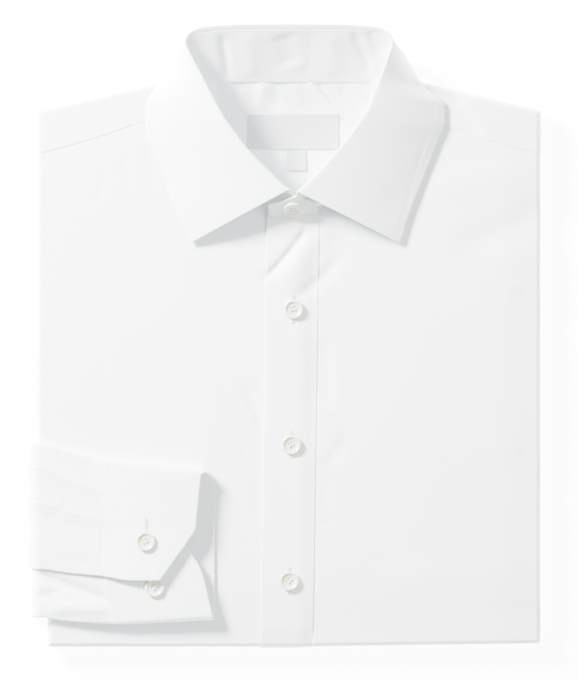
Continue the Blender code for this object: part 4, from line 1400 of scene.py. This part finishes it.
def woven(name, pale, dark, pitch, depth, rib=False, **numbers):
    """Cloth whose weave stands out a little, on the places of its own UV map."""
    look, shader, start = principled(name, **numbers)
    links = look.node_tree.links
    place = start.node("ShaderNodeTexCoord", output=OBJECT_PLACE)
    on_cloth = start.node("ShaderNodeUVMap", uv_map="cloth")
    across = start.node("ShaderNodeSeparateXYZ", {"Vector": on_cloth}, output=0)
    along = start.node("ShaderNodeSeparateXYZ", {"Vector": on_cloth}, output=1)
    threads = along.wave(pitch * MM) if rib else across.wave(pitch * MM) * along.wave(pitch * MM)
    uneven = start.node("ShaderNodeTexNoise", {"Vector": place, "Scale": UNEVEN_SCALE, "Detail": 3.0})
    soft = start.node("ShaderNodeBump", {"Height": uneven, "Strength": 0.35, "Distance": 0.0004})
    weave = start.node(
        "ShaderNodeBump",
        {"Height": threads * 0.5 + 0.5, "Strength": 0.5, "Distance": depth * MM, "Normal": soft},
    )
    links.new(weave.socket, shader.inputs["Normal"])
    patches = start.node("ShaderNodeTexNoise", {"Vector": place, "Scale": MOTTLE_SCALE, "Detail": 3.0})
    links.new(mixed(start, patches, dark, pale).socket, shader.inputs["Base Color"])
    return look


def pearl(name):
    """Pale polished resin with a faint swirl."""
    look, shader, start = principled(name, Roughness=0.22, Coat_Weight=0.5, Coat_Roughness=0.08, IOR=1.53)
    place = start.node("ShaderNodeTexCoord", output=OBJECT_PLACE)
    bend = start.node("ShaderNodeTexNoise", {"Vector": place, "Scale": BEND_SCALE, "Detail": 2.0})
    swirl = {"Vector": place, "Scale": BANDS_SCALE, "Detail": 1.0, "Distortion": 2.2}
    bands = start.node("ShaderNodeTexNoise", swirl)
    tone = mixed(start, (bend + bands) * 0.5, PEARL_DARK, PEARL_PALE)
    look.node_tree.links.new(tone.socket, shader.inputs["Base Color"])
    return look


def plain(name, colour, **numbers):
    look, shader, _ = principled(name, **numbers)
    shader.inputs["Base Color"].default_value = (*colour, 1.0)
    return look


def area_light(name, place, size, power):
    """A round white lamp that faces the shirt."""
    lamp = bpy.data.lights.new(name, "AREA")
    lamp.shape = "DISK"
    lamp.size = size
    lamp.energy = power
    made = in_scene(name, lamp)
    made.location = place
    made.rotation_euler = (-Vector(place)).to_track_quat("-Z", "Y").to_euler()


def camera():
    """Straight above, from far away, framed as the photo is."""
    lens = bpy.data.cameras.new("camera")
    lens.lens = LENS
    lens.sensor_width = SENSOR
    lens.clip_end = VIEW_REACH
    made = in_scene("camera", lens)
    middle_x, middle_y = (PLAN_X + VIEW_X) * MM, (PLAN_Y + VIEW_Y) * MM
    made.location = (middle_x, middle_y, VIEW_HEIGHT * MM * LENS / SENSOR + FRONTS_TOP * MM)
    bpy.context.scene.camera = made


def studio():
    """A pale floor, even light from all round, one lamp at the upper left and a weak one at the right."""
    white = (1.0, 1.0, 1.0, 1.0)
    pale = plain("floor", FLOOR_COLOUR, Roughness=0.9, Emission_Color=white, Emission_Strength=FLOOR_GLOW)
    points = []
    for z in (0.0, -FLOOR_DEPTH):
        for x, y in ((-1, -1), (1, -1), (1, 1), (-1, 1)):
            points.append((x * FLOOR_REACH - PLAN_X, y * FLOOR_REACH - PLAN_Y, z))
    faces = [(0, 1, 2, 3), (7, 6, 5, 4), (0, 4, 5, 1), (1, 5, 6, 2), (2, 6, 7, 3), (3, 7, 4, 0)]
    floor = object_from("floor", points, faces, pale)
    floor.data.shade_flat()
    world = bpy.data.worlds.new("studio")
    world.use_nodes = True
    sky = world.node_tree.nodes["Background"]
    sky.inputs["Color"].default_value = (*SKY_COLOUR, 1.0)
    sky.inputs["Strength"].default_value = SKY_STRENGTH
    bpy.context.scene.world = world
    area_light("key", KEY_PLACE, KEY_SIZE, KEY_POWER)
    area_light("fill", FILL_PLACE, FILL_SIZE, FILL_POWER)


def on_placket(x, y):
    """Places on the placket's face, where the thread of a buttonhole lies."""
    return over_body(x, y, placket_height(x, y) + STIFF_CLOTH / 2 + THREAD_RADIUS / 2)


def on_upper_cuff(x, y):
    """Places on the face of the cuff's upper layer, where the thread of its buttonhole lies."""
    height = np.array([on_cuff(one_x, one_y, UPPER) for one_x, one_y in zip(x, y)])
    at = CUFF_BUTTONS[0]
    height = height + pinch(x, y, at.x, at.y) + STIFF_CLOTH / 2 + THREAD_RADIUS / 2
    return over_body(x, y, height, inset_share=0.0)


def buttonholes():
    """The worked holes of the front buttons and of the cuff's fastened button."""
    slant = (PLACKET_HEAD_X - PLACKET_FOOT_X) / PLACKET_LENGTH
    holes = []
    for y in BUTTON_ROWS_Y:
        x = float(placket_x(y)) + BUTTON_OFFSET_X
        holes.append(buttonhole(x, y, on_placket, slant))
    at = CUFF_BUTTONS[0]
    x, y = at.x + CUFF_HOLE_SHIFT, at.y + CUFF_HOLE_RISE
    holes.append(buttonhole(x, y, on_upper_cuff, CUFF_HOLE_SLANT))
    return holes


def beside(piece):
    """Puts a piece on the shirt's one body."""
    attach(piece, "root")


def dress(piece, node):
    """Puts a piece on the shirt in place of a node of the CAD model."""
    beside(piece)
    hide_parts(node)


def cloth_pieces(cotton, stiff, satin):
    """Every piece of cloth, by its node."""
    made = (
        front_panel("front_right", -1, cotton),
        front_panel("front_left", 1, cotton),
        placket(stiff),
        yoke_shoulder("yoke_shoulder_right", -1, cotton),
        yoke_shoulder("yoke_shoulder_left", 1, cotton),
        yoke_back(cotton),
        collar_band(stiff),
        collar_leaf(stiff),
        sleeve(cotton),
        cuff(stiff),
        lying_patch("neck_label", COLLAR_CENTRE_X, LABEL_TOP_Y, LABEL_WIDTH, LABEL_LENGTH, satin, LABEL_CURL),
        lying_patch("size_tag", TAG_X, TAG_TOP_Y, TAG_WIDTH, TAG_LENGTH, satin, TAG_CURL),
    )
    return {piece.node: piece for piece in made}


def stitch_lines(pieces):
    """The lines that each group of stitches follows, by the group's name."""
    strip, leaf = pieces["front_placket"], pieces["collar_leaf"]
    wrist, label = pieces["cuff_right"], pieces["neck_label"]
    shoulders = (pieces["yoke_shoulder_right"], pieces["yoke_shoulder_left"])
    return {
        "stitches_front": [rail(strip, "first", TOP_STITCH), rail(strip, "last", TOP_STITCH)],
        "stitches_shoulders": [rail(shoulder, "bottom", EDGE_STITCH) for shoulder in shoulders],
        "stitches_collar": [
            rail(leaf, "last", TOP_STITCH),
            rail(leaf, "bottom", TOP_STITCH, LEAF_STITCH_START),
            rail(leaf, "top", TOP_STITCH, LEAF_STITCH_START),
            rail(pieces["collar_band"], "first", BAND_STITCH),
        ],
        "stitches_cuff": [
            rail(wrist, "bottom", EDGE_STITCH),
            rail(wrist, "top", TOP_STITCH),
            rail(wrist, "first", TOP_STITCH, CUFF_STITCH_START),
            rail(pieces["sleeve_right"], "first", EDGE_STITCH, SLIT_STITCH_START),
        ],
        "stitches_label": [rail(label, "first", LABEL_STITCH), rail(label, "last", LABEL_STITCH)],
    }


def main():
    """Makes every piece, puts the pieces on the shirt in place of the CAD model's nodes, and sets the light
    and the camera.
    """
    poplin = {"pale": COTTON_PALE, "dark": COTTON_DARK, "pitch": 0.3}
    cotton = woven("white cotton", **poplin, depth=0.05, Roughness=0.82, Sheen_Weight=0.08)
    stiff = woven("stiff cotton", **poplin, depth=0.045, Roughness=0.78, Sheen_Weight=0.06)
    satin = woven("label satin", SATIN_PALE, SATIN_DARK, pitch=0.35, depth=0.05, rib=True, Roughness=0.42)
    resin = pearl("button pearl")
    thread = plain("thread", COTTON_PALE, Roughness=0.6, Sheen_Weight=0.2)

    pieces = cloth_pieces(cotton, stiff, satin)
    under = folded_layers(cotton)
    discs, button_threads = buttons(resin)
    stitches, threads = stitch_tree(), thread_tree()
    sewing = {name: sewn(name, lines, stitches, thread) for name, lines in stitch_lines(pieces).items()}
    sewing["buttonholes"] = sewn("buttonholes", buttonholes(), threads, thread)
    sewing["button_threads"] = sewn("button_threads", button_threads, threads, thread)

    for piece in sewing.values():
        beside(piece)
    dress(under, "folded_back_layers")
    for lies in LYING:
        piece = pieces[lies.node].object
        dress(piece, lies.node)
    for name, disc in discs:
        dress(disc, name)
    studio()
    camera()


main()
